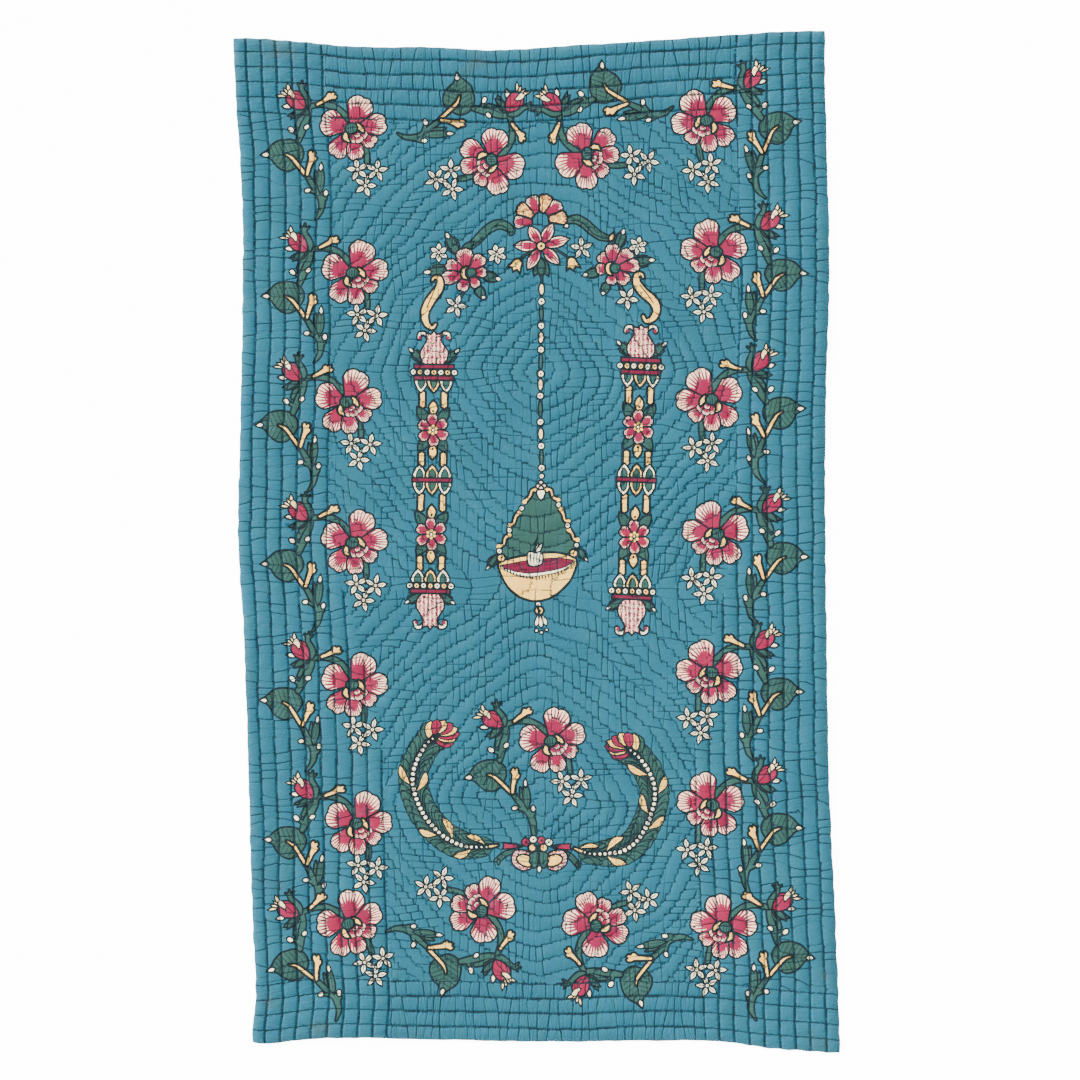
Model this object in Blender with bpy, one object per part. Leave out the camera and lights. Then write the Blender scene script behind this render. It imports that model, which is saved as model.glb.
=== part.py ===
"""A block printed, hand quilted cotton mat that lies flat: one filled solid.

Metres, +Z up. X runs across the mat and +Y towards its head end. The origin is the middle of
the outline, on the surface that the mat lies on. The solid has the cloth's uneven outline with
its drawn-in sides, a rolled edge, a low crown, and sewn channels round the border and up the
field. The field's real rows of stitches lie closer: each channel here stands for three of them.
"""

import math

import bmesh
import bpy
import numpy as np

NAME = "quilt"

# The four corners, in x and y.
HEAD_LEFT = (-0.3622, 0.6010)
HEAD_RIGHT = (0.3440, 0.6098)
FOOT_LEFT = (-0.3390, -0.5972)
FOOT_RIGHT = (0.3622, -0.6098)

# How far each side is drawn in from the straight line between its corners.
# Columns: share of the side's length, metres drawn in.
HEAD_SIDE = ((0.00, 0.0), (0.08, 0.003), (0.20, 0.012), (0.33, 0.014), (0.45, 0.0185),
             (0.56, 0.0145), (0.68, 0.0105), (0.80, 0.0055), (0.92, 0.001), (1.00, 0.0))
FOOT_SIDE = ((0.00, 0.0), (0.02, -0.001), (0.13, 0.007), (0.30, 0.0075), (0.50, 0.0075),
             (0.68, 0.011), (0.79, 0.0115), (0.90, 0.0035), (1.00, 0.0))
LEFT_SIDE = ((0.00, 0.0), (0.05, 0.0015), (0.16, 0.007), (0.24, 0.006), (0.36, 0.001),
             (0.50, -0.0055), (0.58, -0.0015), (0.70, 0.001), (0.86, 0.0025), (0.95, 0.005),
             (0.985, 0.0005), (1.00, 0.0))
RIGHT_SIDE = ((0.00, 0.0), (0.04, 0.001), (0.12, 0.0), (0.23, -0.001), (0.34, 0.0045),
              (0.44, 0.008), (0.63, 0.009), (0.74, 0.0085), (0.87, 0.0035), (1.00, 0.0))

WIDTH = 0.70            # mean width, for the spacing of the seams
LENGTH = 1.20           # mean length

EDGE_ROLL = 0.0015      # how far the rolled edge turns in
EDGE_MIDDLE = 0.0024    # height of the edge's outermost line
EDGE_TOP = 0.0046       # height where the roll meets the face
EDGE_CREST = 0.0070     # top of the first row, between the edge and the first seam
FIRST_SEAM = 0.016      # from the edge to the first row of stitches
SEAM_PITCH = 0.018      # between the border's rows of stitches
BORDER_SEAMS = 5
SEAM_HEIGHT = 0.0052    # top face at a row of stitches
CREST_HEIGHT = 0.0074   # top face between two rows
CROWN = 0.0010          # how much thicker the middle is than the border

FIELD_CHANNELS = 12     # channels up the field, each three rows of stitches wide
FIELD_STATIONS = 38     # steps along the field

COTTON_TEAL = (0.068, 0.262, 0.392, 1.0)


def drawn_in(rows, share):
    """Metres drawn in at a share of a side, on a smooth curve through the table's rows."""
    at = [row[0] for row in rows]
    depth = [row[1] for row in rows]
    last = len(rows) - 1
    k = min(max(int(np.searchsorted(at, share, side="right")) - 1, 0), last - 1)
    before = max(k - 1, 0)
    after = min(k + 2, last)
    step = at[k + 1] - at[k]
    slope_in = (depth[k + 1] - depth[before]) / (at[k + 1] - at[before]) * step
    slope_out = (depth[after] - depth[k]) / (at[after] - at[k]) * step
    t = (share - at[k]) / step
    return ((2 * t**3 - 3 * t**2 + 1) * depth[k] + (t**3 - 2 * t**2 + t) * slope_in
            + (3 * t**2 - 2 * t**3) * depth[k + 1] + (t**3 - t**2) * slope_out)


def side_point(start, end, rows, share, inward):
    """A point on a side: the straight line between its corners, moved inward."""
    depth = drawn_in(rows, share)
    return np.array([start[0] + (end[0] - start[0]) * share + inward[0] * depth,
                     start[1] + (end[1] - start[1]) * share + inward[1] * depth])


def on_cloth(u, v):
    """x and y for shares across (u, from the left) and down (v, from the head)."""
    head = side_point(HEAD_LEFT, HEAD_RIGHT, HEAD_SIDE, u, (0, -1))
    foot = side_point(FOOT_LEFT, FOOT_RIGHT, FOOT_SIDE, u, (0, 1))
    left = side_point(HEAD_LEFT, FOOT_LEFT, LEFT_SIDE, v, (1, 0))
    right = side_point(HEAD_RIGHT, FOOT_RIGHT, RIGHT_SIDE, v, (-1, 0))
    corners = ((1 - u) * (1 - v) * np.array(HEAD_LEFT) + u * (1 - v) * np.array(HEAD_RIGHT)
               + (1 - u) * v * np.array(FOOT_LEFT) + u * v * np.array(FOOT_RIGHT))
    return (1 - v) * head + v * foot + (1 - u) * left + u * right - corners


def border_depths():
    """Distances from an edge of the border's lines: the roll, then crests and seams in turn."""
    depths = [EDGE_ROLL, (EDGE_ROLL + FIRST_SEAM) / 2]
    for seam in range(BORDER_SEAMS):
        at = FIRST_SEAM + SEAM_PITCH * seam
        depths.append(at)
        if seam < BORDER_SEAMS - 1:
            depths.append(at + SEAM_PITCH / 2)
    return depths


def shares(size, field_steps):
    """Shares of a side where the grid's lines run: border, field, border."""
    border = border_depths()
    inner = size - 2 * border[-1]
    field = [border[-1] + inner * k / field_steps for k in range(1, field_steps)]
    depths = border + field + [size - d for d in reversed(border)]
    return [d / size for d in depths]


def face_height(column, columns, row, rows):
    """Height of the top face at a line of the grid, from how many lines in it lies."""
    lines_in = min(column, row, columns - 1 - column, rows - 1 - row)
    last_border_line = len(border_depths()) - 1
    if lines_in == 0:
        return EDGE_TOP
    if lines_in == 1:
        return EDGE_CREST
    if lines_in <= last_border_line:
        return SEAM_HEIGHT if lines_in % 2 == 0 else CREST_HEIGHT
    across = math.sin(math.pi * column / (columns - 1))
    along = math.sin(math.pi * row / (rows - 1))
    crown = CROWN * across * along
    on_channel_seam = (column - last_border_line) % 2 == 0
    return crown + (SEAM_HEIGHT if on_channel_seam else CREST_HEIGHT)


def loop_of(columns, rows):
    """The grid's outer positions in order round the mat, seen from above."""
    loop = [(c, 0) for c in range(columns)]
    loop += [(columns - 1, r) for r in range(1, rows)]
    loop += [(c, rows - 1) for c in range(columns - 2, -1, -1)]
    loop += [(0, r) for r in range(rows - 2, 0, -1)]
    return loop




def quilt_mesh():
    """The whole solid: face, rolled edge and flat back."""
    across = shares(WIDTH, 2 * FIELD_CHANNELS)
    down = shares(LENGTH, FIELD_STATIONS)
    columns = len(across)
    rows = len(down)
    bm = bmesh.new()
    face = {}
    for c, u in enumerate(across):
        for r, v in enumerate(down):
            x, y = on_cloth(u, v)
            face[c, r] = bm.verts.new((x, y, face_height(c, columns, r, rows)))
    for c in range(columns - 1):
        for r in range(rows - 1):
            bm.faces.new((face[c, r], face[c, r + 1], face[c + 1, r + 1], face[c + 1, r]))

    loop = loop_of(columns, rows)
    edge = []
    back = []
    for c, r in loop:
        u = 0.0 if c == 0 else 1.0 if c == columns - 1 else across[c]
        v = 0.0 if r == 0 else 1.0 if r == rows - 1 else down[r]
        x, y = on_cloth(u, v)
        edge.append(bm.verts.new((x, y, EDGE_MIDDLE)))
        top = face[c, r].co
        back.append(bm.verts.new((top.x, top.y, 0.0)))
    for k in range(len(loop)):
        following = (k + 1) % len(loop)
        bm.faces.new((face[loop[k]], face[loop[following]], edge[following], edge[k]))
        bm.faces.new((edge[k], edge[following], back[following], back[k]))
    bm.faces.new(back)
    bmesh.ops.recalc_face_normals(bm, faces=bm.faces)
    mesh = bpy.data.meshes.new(NAME)
    bm.to_mesh(mesh)
    bm.free()
    mesh.shade_smooth()
    mesh.set_sharp_from_angle(angle=math.radians(60))
    return mesh


def cotton():
    """Plain matt cotton."""
    material = bpy.data.materials.new("printed_cotton")
    material.use_nodes = True
    shader = material.node_tree.nodes["Principled BSDF"]
    shader.inputs["Base Color"].default_value = COTTON_TEAL
    shader.inputs["Roughness"].default_value = 0.92
    shader.inputs["Metallic"].default_value = 0.0
    return material


def main():
    for old in list(bpy.data.objects):
        bpy.data.objects.remove(old)
    quilt = bpy.data.objects.new(NAME, quilt_mesh())
    quilt.data.materials.append(cotton())
    bpy.context.scene.collection.objects.link(quilt)


main()
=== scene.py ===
"""Looks of a block printed, hand quilted cotton mat: its print, its quilting and its stitches.

The mat's face is one mesh. Its triangles follow the edges of every printed shape and the rows of
stitches, so that the print and the quilting are both part of the cloth.
Lengths are in metres, apart from the print's own drawing, which is in millimetres.
"""

import math

import bpy
import numpy as np
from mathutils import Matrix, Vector
from mathutils.bvhtree import BVHTree
from mathutils.geometry import delaunay_2d_cdt


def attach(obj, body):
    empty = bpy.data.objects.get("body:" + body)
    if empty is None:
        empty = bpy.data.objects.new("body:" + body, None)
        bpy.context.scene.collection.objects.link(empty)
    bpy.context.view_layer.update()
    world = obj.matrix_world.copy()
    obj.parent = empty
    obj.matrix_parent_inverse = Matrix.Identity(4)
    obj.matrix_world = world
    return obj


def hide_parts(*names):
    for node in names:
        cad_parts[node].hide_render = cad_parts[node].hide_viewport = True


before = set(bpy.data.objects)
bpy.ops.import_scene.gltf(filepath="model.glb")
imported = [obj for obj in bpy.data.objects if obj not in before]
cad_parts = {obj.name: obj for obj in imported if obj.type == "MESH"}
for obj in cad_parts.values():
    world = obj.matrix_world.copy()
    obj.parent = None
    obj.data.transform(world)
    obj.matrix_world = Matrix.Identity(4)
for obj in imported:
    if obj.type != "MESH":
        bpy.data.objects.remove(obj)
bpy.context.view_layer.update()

MM = 0.001
SEED = 11

# ---------------------------------------------------------------- camera, light, floor

VIEW_MIDDLE = (0.0039, 0.0022)
VIEW_HEIGHT = 3.2
VIEW_HALF_WIDTH = 0.6430
FACE_LEVEL = 0.006      # the height at which the view is as wide as that
KEY_FROM = (-2.6, 1.7, 1.35)
KEY_STRENGTH = 12.5
KEY_SPREAD = 16.0
FILL_FROM = (1.6, -1.8, 2.6)
FILL_SIZE = 2.4
FILL_POWER = 50.0
SKY_STRENGTH = 1.12
FLOOR_SIZE = 80.0
FLOOR_WHITE = 0.94
FLOOR_GLOW = 12.0


def place_camera():
    """Straight above the mat, its head end up."""
    lens = bpy.data.cameras.new("camera")
    lens.angle = 2 * math.atan(VIEW_HALF_WIDTH / (VIEW_HEIGHT - FACE_LEVEL))
    camera = bpy.data.objects.new("camera", lens)
    camera.location = (*VIEW_MIDDLE, VIEW_HEIGHT)
    bpy.context.scene.collection.objects.link(camera)
    bpy.context.scene.camera = camera


def studio_light(name, kind, place, strength):
    """A light turned from its place towards the mat's middle."""
    light = bpy.data.lights.new(name, kind)
    light.energy = strength
    lamp = bpy.data.objects.new(name, light)
    lamp.location = place
    lamp.rotation_euler = (-Vector(place)).to_track_quat("-Z", "Y").to_euler()
    bpy.context.scene.collection.objects.link(lamp)
    return light


def studio():
    """Plain pale floor and soft light from the upper left."""
    key = studio_light("key_light", "SUN", KEY_FROM, KEY_STRENGTH)
    key.angle = math.radians(KEY_SPREAD)
    fill = studio_light("fill_light", "AREA", FILL_FROM, FILL_POWER)
    fill.shape = "SQUARE"
    fill.size = FILL_SIZE
    world = bpy.data.worlds.new("studio")
    bpy.context.scene.world = world
    world.use_nodes = True
    background = world.node_tree.nodes["Background"]
    background.inputs["Color"].default_value = (1.0, 1.0, 1.0, 1.0)
    background.inputs["Strength"].default_value = SKY_STRENGTH

    bpy.ops.mesh.primitive_plane_add(size=FLOOR_SIZE, location=(0.0, 0.0, 0.0))
    floor = bpy.context.object
    floor.name = "floor"
    material = bpy.data.materials.new("pale_floor")
    material.use_nodes = True
    shader = material.node_tree.nodes["Principled BSDF"].inputs
    shader["Base Color"].default_value = (FLOOR_WHITE, FLOOR_WHITE, FLOOR_WHITE, 1.0)
    shader["Roughness"].default_value = 0.9
    shader["Emission Color"].default_value = (1.0, 1.0, 1.0, 1.0)
    shader["Emission Strength"].default_value = FLOOR_GLOW
    floor.data.materials.append(material)


# ---------------------------------------------------------------- outline of the mat

HEAD_LEFT = (-0.3622, 0.6010)
HEAD_RIGHT = (0.3440, 0.6098)
FOOT_LEFT = (-0.3390, -0.5972)
FOOT_RIGHT = (0.3622, -0.6098)

# How far each side is drawn in from the straight line between its corners:
# share of the side's length, metres drawn in.
HEAD_SIDE = ((0.00, 0.0), (0.08, 0.003), (0.20, 0.012), (0.33, 0.014), (0.45, 0.0185),
             (0.56, 0.0145), (0.68, 0.0105), (0.80, 0.0055), (0.92, 0.001), (1.00, 0.0))
FOOT_SIDE = ((0.00, 0.0), (0.02, -0.001), (0.13, 0.007), (0.30, 0.0075), (0.50, 0.0075),
             (0.68, 0.011), (0.79, 0.0115), (0.90, 0.0035), (1.00, 0.0))
LEFT_SIDE = ((0.00, 0.0), (0.05, 0.0015), (0.16, 0.007), (0.24, 0.006), (0.36, 0.001),
             (0.50, -0.0055), (0.58, -0.0015), (0.70, 0.001), (0.86, 0.0025), (0.95, 0.005),
             (0.985, 0.0005), (1.00, 0.0))
RIGHT_SIDE = ((0.00, 0.0), (0.04, 0.001), (0.12, 0.0), (0.23, -0.001), (0.34, 0.0045),
              (0.44, 0.008), (0.63, 0.009), (0.74, 0.0085), (0.87, 0.0035), (1.00, 0.0))
SIDE_STEPS = 241


def drawn_in(rows, share):
    """Metres drawn in at a share of a side, on a smooth curve through the table's rows."""
    at = [row[0] for row in rows]
    depth = [row[1] for row in rows]
    last = len(rows) - 1
    k = min(max(int(np.searchsorted(at, share, side="right")) - 1, 0), last - 1)
    before = max(k - 1, 0)
    after = min(k + 2, last)
    step = at[k + 1] - at[k]
    slope_in = (depth[k + 1] - depth[before]) / (at[k + 1] - at[before]) * step
    slope_out = (depth[after] - depth[k]) / (at[after] - at[k]) * step
    t = (share - at[k]) / step
    return ((2 * t**3 - 3 * t**2 + 1) * depth[k] + (t**3 - 2 * t**2 + t) * slope_in
            + (3 * t**2 - 2 * t**3) * depth[k + 1] + (t**3 - t**2) * slope_out)


def side_line(start, end, rows, inward):
    """Points along one side of the mat."""
    line = []
    for share in np.linspace(0.0, 1.0, SIDE_STEPS):
        depth = drawn_in(rows, share)
        line.append((start[0] + (end[0] - start[0]) * share + inward[0] * depth,
                     start[1] + (end[1] - start[1]) * share + inward[1] * depth))
    return np.array(line)


HEAD = side_line(HEAD_LEFT, HEAD_RIGHT, HEAD_SIDE, (0, -1))
FOOT = side_line(FOOT_LEFT, FOOT_RIGHT, FOOT_SIDE, (0, 1))
LEFT = side_line(HEAD_LEFT, FOOT_LEFT, LEFT_SIDE, (1, 0))[::-1]
RIGHT = side_line(HEAD_RIGHT, FOOT_RIGHT, RIGHT_SIDE, (-1, 0))[::-1]


def depths(x, y):
    """How far in a point lies from the left, right, head and foot sides."""
    return (x - np.interp(y, LEFT[:, 1], LEFT[:, 0]),
            np.interp(y, RIGHT[:, 1], RIGHT[:, 0]) - x,
            np.interp(x, HEAD[:, 0], HEAD[:, 1]) - y,
            y - np.interp(x, FOOT[:, 0], FOOT[:, 1]))


# ---------------------------------------------------------------- quilting

EDGE_ROLL = 0.0015
EDGE_TOP = 0.0046
FIRST_ROW = 0.016
BORDER_PITCH = 0.018
FIELD_PITCH = 0.0175
CREASE_PITCH = 0.0125
STEP_PITCH = 0.0085     # the length of the steps that the field's rows take along the weave
SEAM_HEIGHT = 0.0052
PUFF = 0.0014
CROWN = 0.0009
HEAD_ROWS = 5
FOOT_ROWS = 4
UPPER_SIDE_ROWS = 6
LOWER_SIDE_ROWS = 9
PAST_LAST_ROW = 0.12    # how far the straight rows' own ground goes on past the last, in rows
NICHE_MIDDLE = (0.005, 0.205)
GARLAND_MIDDLE = (0.005, -0.310)
ECHO_POWER = 1.38
STEPPED = 0.65          # 0 for smooth rows, 1 for rows that only ever run along the weave
LOWER_FROM = 0.06       # below this height up the mat, the sides have more straight rows,
LOWER_OVER = 0.34       # all of them after this much
ROW_BEND = 0.0011       # how far the straight rows stray, and over what length
ROW_BEND_SIZE = 0.16
FIELD_BEND = 0.004      # the same for the field's rows
FIELD_BEND_SIZE = 0.13
WAIST = 0.022           # how far round their meeting the two sets of field rows are smoothed
BORDER_STAGGER = 0.6    # how far the creases of one lane lie from the next lane's, in creases
FIELD_STAGGER = 0.16
CREASE_BEND = 0.34      # how far creases stray, in creases, and over what length
CREASE_BEND_SIZE = 0.050
CROSSING_FROM = 0.20    # the slant of rows from which a second set of creases shows,
CROSSING_OVER = 0.30    # in full after this much more
WAVES = 5               # how many waves are laid over one another where something strays


def wander(x, y, size, seed):
    """A smooth wandering value of about -1 to 1, for work done by hand."""
    draw = np.random.default_rng(SEED + seed)
    total = np.zeros_like(np.asarray(x, dtype=float))
    for _ in range(WAVES):
        turn = draw.uniform(0, math.tau)
        pace = math.tau / size * draw.uniform(0.55, 1.6)
        start = draw.uniform(0, math.tau)
        total = total + np.sin((x * math.cos(turn) + y * math.sin(turn)) * pace + start)
    return total / math.sqrt(WAVES)


def rough(a, b):
    """A fixed random share from 0 to 1 for each pair of whole numbers."""
    value = np.sin(a * 12.9898 + b * 78.233) * 43758.5453
    return value - np.floor(value)


def border_reach(x, y):
    """How deep the border's straight rows reach: at the sides, and at the ends."""
    lower = np.clip((LOWER_FROM - y) / LOWER_OVER, 0.0, 1.0)
    lower = lower * lower * (3 - 2 * lower)
    rows = UPPER_SIDE_ROWS + (LOWER_SIDE_ROWS - UPPER_SIDE_ROWS) * lower
    side = FIRST_ROW + BORDER_PITCH * (rows - 1 + PAST_LAST_ROW)
    end = FIRST_ROW + BORDER_PITCH * (np.where(y > 0, HEAD_ROWS, FOOT_ROWS) - 1 + PAST_LAST_ROW)
    return side, end


def into_field(x, y):
    """Distances past the straight rows at the sides and at the ends; positive in the field."""
    left, right, head, foot = depths(x, y)
    side, end = border_reach(x, y)
    return np.minimum(left, right) - side, np.minimum(head, foot) - end


def straight_rows(x, y, depth, seed):
    """Rows counted in from an edge that lies a depth away."""
    bend = ROW_BEND * wander(x, y, ROW_BEND_SIZE, seed=seed)
    return (depth + bend - FIRST_ROW) / BORDER_PITCH


def side_rows(x, y):
    """Rows counted in from the nearer side."""
    return straight_rows(x, y, np.minimum(*depths(x, y)[:2]), 1)


def end_rows(x, y):
    """Rows counted in from the nearer end."""
    return straight_rows(x, y, np.minimum(*depths(x, y)[2:]), 2)


def echo_distances(x, y):
    """Distance from the two middles that the field's rows echo."""
    both = []
    for middle in (NICHE_MIDDLE, GARLAND_MIDDLE):
        dx = np.abs(x - middle[0])
        dy = np.abs(y - middle[1])
        both.append((dx**ECHO_POWER + dy**ECHO_POWER + 1e-9) ** (1 / ECHO_POWER))
    return both


def field_rows(x, y):
    """Rows counted out from the middles, on smooth waists where the two sets meet."""
    near, far = echo_distances(x + FIELD_BEND * wander(x, y, FIELD_BEND_SIZE, seed=3),
                               y + FIELD_BEND * wander(x, y, FIELD_BEND_SIZE, seed=4))
    least = np.minimum(near, far)
    joined = least - WAIST * np.log(np.exp((least - near) / WAIST) + np.exp((least - far) / WAIST))
    return joined / FIELD_PITCH


def upright_creases(x, y, lane, pitch=CREASE_PITCH, stagger=BORDER_STAGGER):
    """Creases counted up the mat, across rows that run more or less up it."""
    shift = stagger * (rough(lane, 3.0) - 0.5)
    return y / pitch + shift + CREASE_BEND * wander(x * 0.5, y, CREASE_BEND_SIZE, seed=5)


def level_creases(x, y, lane, pitch=CREASE_PITCH, stagger=BORDER_STAGGER):
    """Creases counted across the mat, across rows that run more or less across it."""
    shift = stagger * (rough(lane, 7.0) - 0.5)
    return x / pitch + shift + CREASE_BEND * wander(x, y * 0.5, CREASE_BEND_SIZE, seed=6)


def field_slopes(x, y):
    """How fast the count of field rows grows across and up the mat, per metre."""
    step = 0.001
    return ((field_rows(x + step, y) - field_rows(x - step, y)) / (2 * step),
            (field_rows(x, y + step) - field_rows(x, y - step)) / (2 * step))


SIDE, END, CORNER, FIELD = range(4)
WIDEST_SPACING = 0.060
BORDER_ROW_WEIGHT = 1.35    # how much wider the border's rows are drawn than the field's


def region_of(x, y):
    """Which set of rows holds at a point."""
    side, end = into_field(x, y)
    region = np.full(np.shape(x), FIELD)
    region = np.where(side < 0, SIDE, region)
    region = np.where((end < 0) & (side >= 0), END, region)
    return np.where((end < 0) & (side < 0), CORNER, region)


def rows_and_creases(x, y, region, at_x, at_y):
    """Counts of rows and of both sets of creases, the rows' step, and the second set's strength.

    The lane and the way that the rows run are taken at a nearby place.
    """
    side_lane = np.floor(side_rows(at_x, at_y))
    end_lane = np.floor(end_rows(at_x, at_y))
    field_lane = np.floor(field_rows(at_x, at_y))
    slope_x, slope_y = field_slopes(at_x, at_y)
    upright = np.abs(slope_x) > np.abs(slope_y)
    side = side_rows(x, y)
    end = end_rows(x, y)
    rows = np.where(region == FIELD, field_rows(x, y), np.where(region == END, end, side))
    up = upright_creases(x, y, field_lane, STEP_PITCH, FIELD_STAGGER)
    level = level_creases(x, y, field_lane, STEP_PITCH, FIELD_STAGGER)
    first = np.where(
        region == FIELD, np.where(upright, up, level),
        np.where(region == END, level_creases(x, y, end_lane),
                 np.where(region == SIDE, upright_creases(x, y, side_lane), end)))
    second = np.where(upright, level, up)
    step = STEPPED * STEP_PITCH * np.where(upright, slope_y, slope_x)
    steep = np.maximum(np.abs(slope_x), np.abs(slope_y))
    slant = np.minimum(np.abs(slope_x), np.abs(slope_y)) / np.maximum(steep, 1.0)
    in_field = region == FIELD
    slanted = np.where(in_field, np.clip((slant - CROSSING_FROM) / CROSSING_OVER, 0.0, 1.0), 0.0)
    return rows, first, second, np.where(in_field, step, 0.0), slanted


def local_spacings(x, y, region, at_x, at_y):
    """Millimetres from one row, or one crease of each set, to the next at a point."""
    step = 0.0004
    sides = [rows_and_creases(x + dx, y + dy, region, at_x, at_y)[:3]
             for dx, dy in ((step, 0.0), (-step, 0.0), (0.0, step), (0.0, -step))]
    spacings = []
    for k, (right, left, above, below) in enumerate(zip(*sides)):
        slope_x = np.abs(right - left) / (2 * step)
        slope_y = np.abs(above - below) / (2 * step)
        slope = np.maximum(slope_x, slope_y) if k == 0 else np.hypot(slope_x, slope_y)
        spacings.append(1.0 / (MM * np.maximum(slope, 1.0 / WIDEST_SPACING)))
    spacings[0] = spacings[0] / np.where(region == FIELD, 1.0, BORDER_ROW_WEIGHT)
    return spacings


DRAWN_DOWN = np.array((0.45, 0.60, 0.0, 0.12))  # how far creases draw the puffs down, by region
FIELD_LIFT = 0.60       # the height of the field's puffs beside the border's
EDGE_SLOPE = 0.0065     # how far in the face rises from the edge
CREST_NARROWNESS = 0.45     # 1 for crests like waves, less for flatter ones with sharp rows
CROWN_SPAN = (0.74, 1.24)   # the crown falls to nothing over this width and length
UNEVEN = 0.00035        # how far the whole face wavers, and how much the puffs differ
UNEVEN_SIZE = 0.22
UNEVEN_PUFFS = 0.18
UNEVEN_PUFFS_SIZE = 0.09
PAST_BORDER = 0.0035    # how far in from the straight rows the field's puffs are full


def puff(count):
    """Roundness of the cloth between two rows: 0 on a row, 1 half way."""
    return np.abs(np.sin(math.pi * count)) ** CREST_NARROWNESS


def crease_dip(count, lane):
    """How far a cross crease draws the cloth down: 0 to 1."""
    near = 0.5 + 0.5 * np.cos(math.tau * count)
    return near * near * (0.25 + 0.75 * rough(np.round(count), lane))


def face_height(x, y):
    """Height of the printed face over the surface that the mat lies on."""
    region = region_of(x, y)
    rows, creases, _, _, _ = rows_and_creases(x, y, region, x, y)
    lane = np.floor(rows)
    lift = puff(rows) * (1 - DRAWN_DOWN[region] * crease_dip(creases, lane))
    lift = np.where(region == CORNER, np.minimum(puff(rows), puff(creases)), lift)
    side, end = into_field(x, y)
    past = np.clip(np.minimum(side, end) / PAST_BORDER, 0.0, 1.0)
    lift = lift * np.where(region == FIELD, FIELD_LIFT * past ** 0.5, 1.0)
    lift = lift * (1 + UNEVEN_PUFFS * wander(x, y, UNEVEN_PUFFS_SIZE, seed=8))
    across, along = (np.cos(math.pi * at / span) for at, span in zip((x, y), CROWN_SPAN))
    height = (SEAM_HEIGHT + PUFF * lift
              + CROWN * across * along + UNEVEN * wander(x, y, UNEVEN_SIZE, seed=9))
    edge = np.minimum.reduce(depths(x, y)) - EDGE_ROLL
    rise = np.sin(np.clip(edge / EDGE_SLOPE, 0.0, 1.0) * math.pi / 2)
    return EDGE_TOP + (height - EDGE_TOP) * rise


# ---------------------------------------------------------------- lines over the cloth

GRID = 0.003
GRID_X = np.arange(-0.372, 0.3721, GRID)
GRID_Y = np.arange(-0.621, 0.6211, GRID)
MESH_X, MESH_Y = np.meshgrid(GRID_X, GRID_Y)
MOST_BORDER_ROWS = 13
MOST_FIELD_ROWS = 50
FIELD_ROWS_FROM = 0.003     # past the straight rows


def level_lines(values, level):
    """Lines on which a quantity over the grid has one value, each a list of points."""
    flags = values > level
    above = flags.tolist()
    table = values.tolist()
    columns = len(GRID_X)
    upright = len(GRID_Y) * columns
    mixed = ((flags[:-1, :-1] != flags[:-1, 1:]) | (flags[:-1, :-1] != flags[1:, :-1])
             | (flags[1:, 1:] != flags[1:, :-1]) | (flags[1:, 1:] != flags[:-1, 1:]))
    links = {}
    for j, i in np.argwhere(mixed).tolist():
        low, low_next = above[j][i], above[j][i + 1]
        high, high_next = above[j + 1][i], above[j + 1][i + 1]
        crossed = []
        if low != low_next:
            crossed.append(j * columns + i)
        if low_next != high_next:
            crossed.append(upright + j * columns + i + 1)
        if high != high_next:
            crossed.append((j + 1) * columns + i)
        if low != high:
            crossed.append(upright + j * columns + i)
        for one, other in zip(crossed[0::2], crossed[1::2]):
            links.setdefault(one, []).append(other)
            links.setdefault(other, []).append(one)

    def where(edge):
        j, i = divmod(edge % upright, columns)
        j_next, i_next = (j, i + 1) if edge < upright else (j + 1, i)
        start, end = table[j][i], table[j_next][i_next]
        t = (level - start) / (end - start)
        return (GRID_X[i] + t * (GRID_X[i_next] - GRID_X[i]),
                GRID_Y[j] + t * (GRID_Y[j_next] - GRID_Y[j]))

    lines = []
    used = set()
    ends = [edge for edge, others in links.items() if len(others) == 1]
    for start in ends + list(links):
        if start in used:
            continue
        line = [start]
        used.add(start)
        while True:
            onward = [edge for edge in links[line[-1]] if edge not in used]
            if not onward:
                break
            line.append(onward[0])
            used.add(onward[0])
        if len(links[start]) > 1 and len(line) > 2 and start in links[line[-1]]:
            line.append(start)
        lines.append(np.array([where(edge) for edge in line]))
    return lines


def even_points(line, spacing):
    """Points evenly spaced along a line."""
    steps = np.hypot(*np.diff(line, axis=0).T)
    run = np.concatenate(([0.0], np.cumsum(steps)))
    if run[-1] < spacing:
        return line[:1]
    count = max(2, int(round(run[-1] / spacing)) + 1)
    at = np.linspace(0.0, run[-1], count)
    return np.column_stack((np.interp(at, run, line[:, 0]), np.interp(at, run, line[:, 1])))


def kept_runs(line, keep):
    """The stretches of a line that lie where they should."""
    breaks = np.flatnonzero(keep[1:] != keep[:-1]) + 1
    stretches = zip(np.split(line, breaks), np.split(keep, breaks))
    return [points for points, kept in stretches if kept[0] and len(points) > 1]


def inside_mat(x, y, margin=0.002):
    """Whether points lie on the mat, a little in from its edge."""
    return np.minimum.reduce(depths(x, y)) > margin


ROW_SETS = (    # the count of rows, its whole values, and where the set holds
    (side_rows, range(-1, MOST_BORDER_ROWS), lambda side, end: side < 0.0),
    (end_rows, range(-1, MOST_BORDER_ROWS), lambda side, end: end < 0.0),
    (field_rows, range(MOST_FIELD_ROWS),
     lambda side, end: np.minimum(side, end) > FIELD_ROWS_FROM))


def all_lines(share):
    """Lines at a given share of the way between rows, through the border and the field."""
    found = []
    for rows, counts, holds in ROW_SETS:
        values = rows(MESH_X, MESH_Y)
        for count in counts:
            if values.min() < count + share < values.max():
                for line in level_lines(values, count + share):
                    x, y = line.T
                    found += kept_runs(line, holds(*into_field(x, y)) & inside_mat(x, y))
    return found


# ---------------------------------------------------------------- inks and block print

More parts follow.
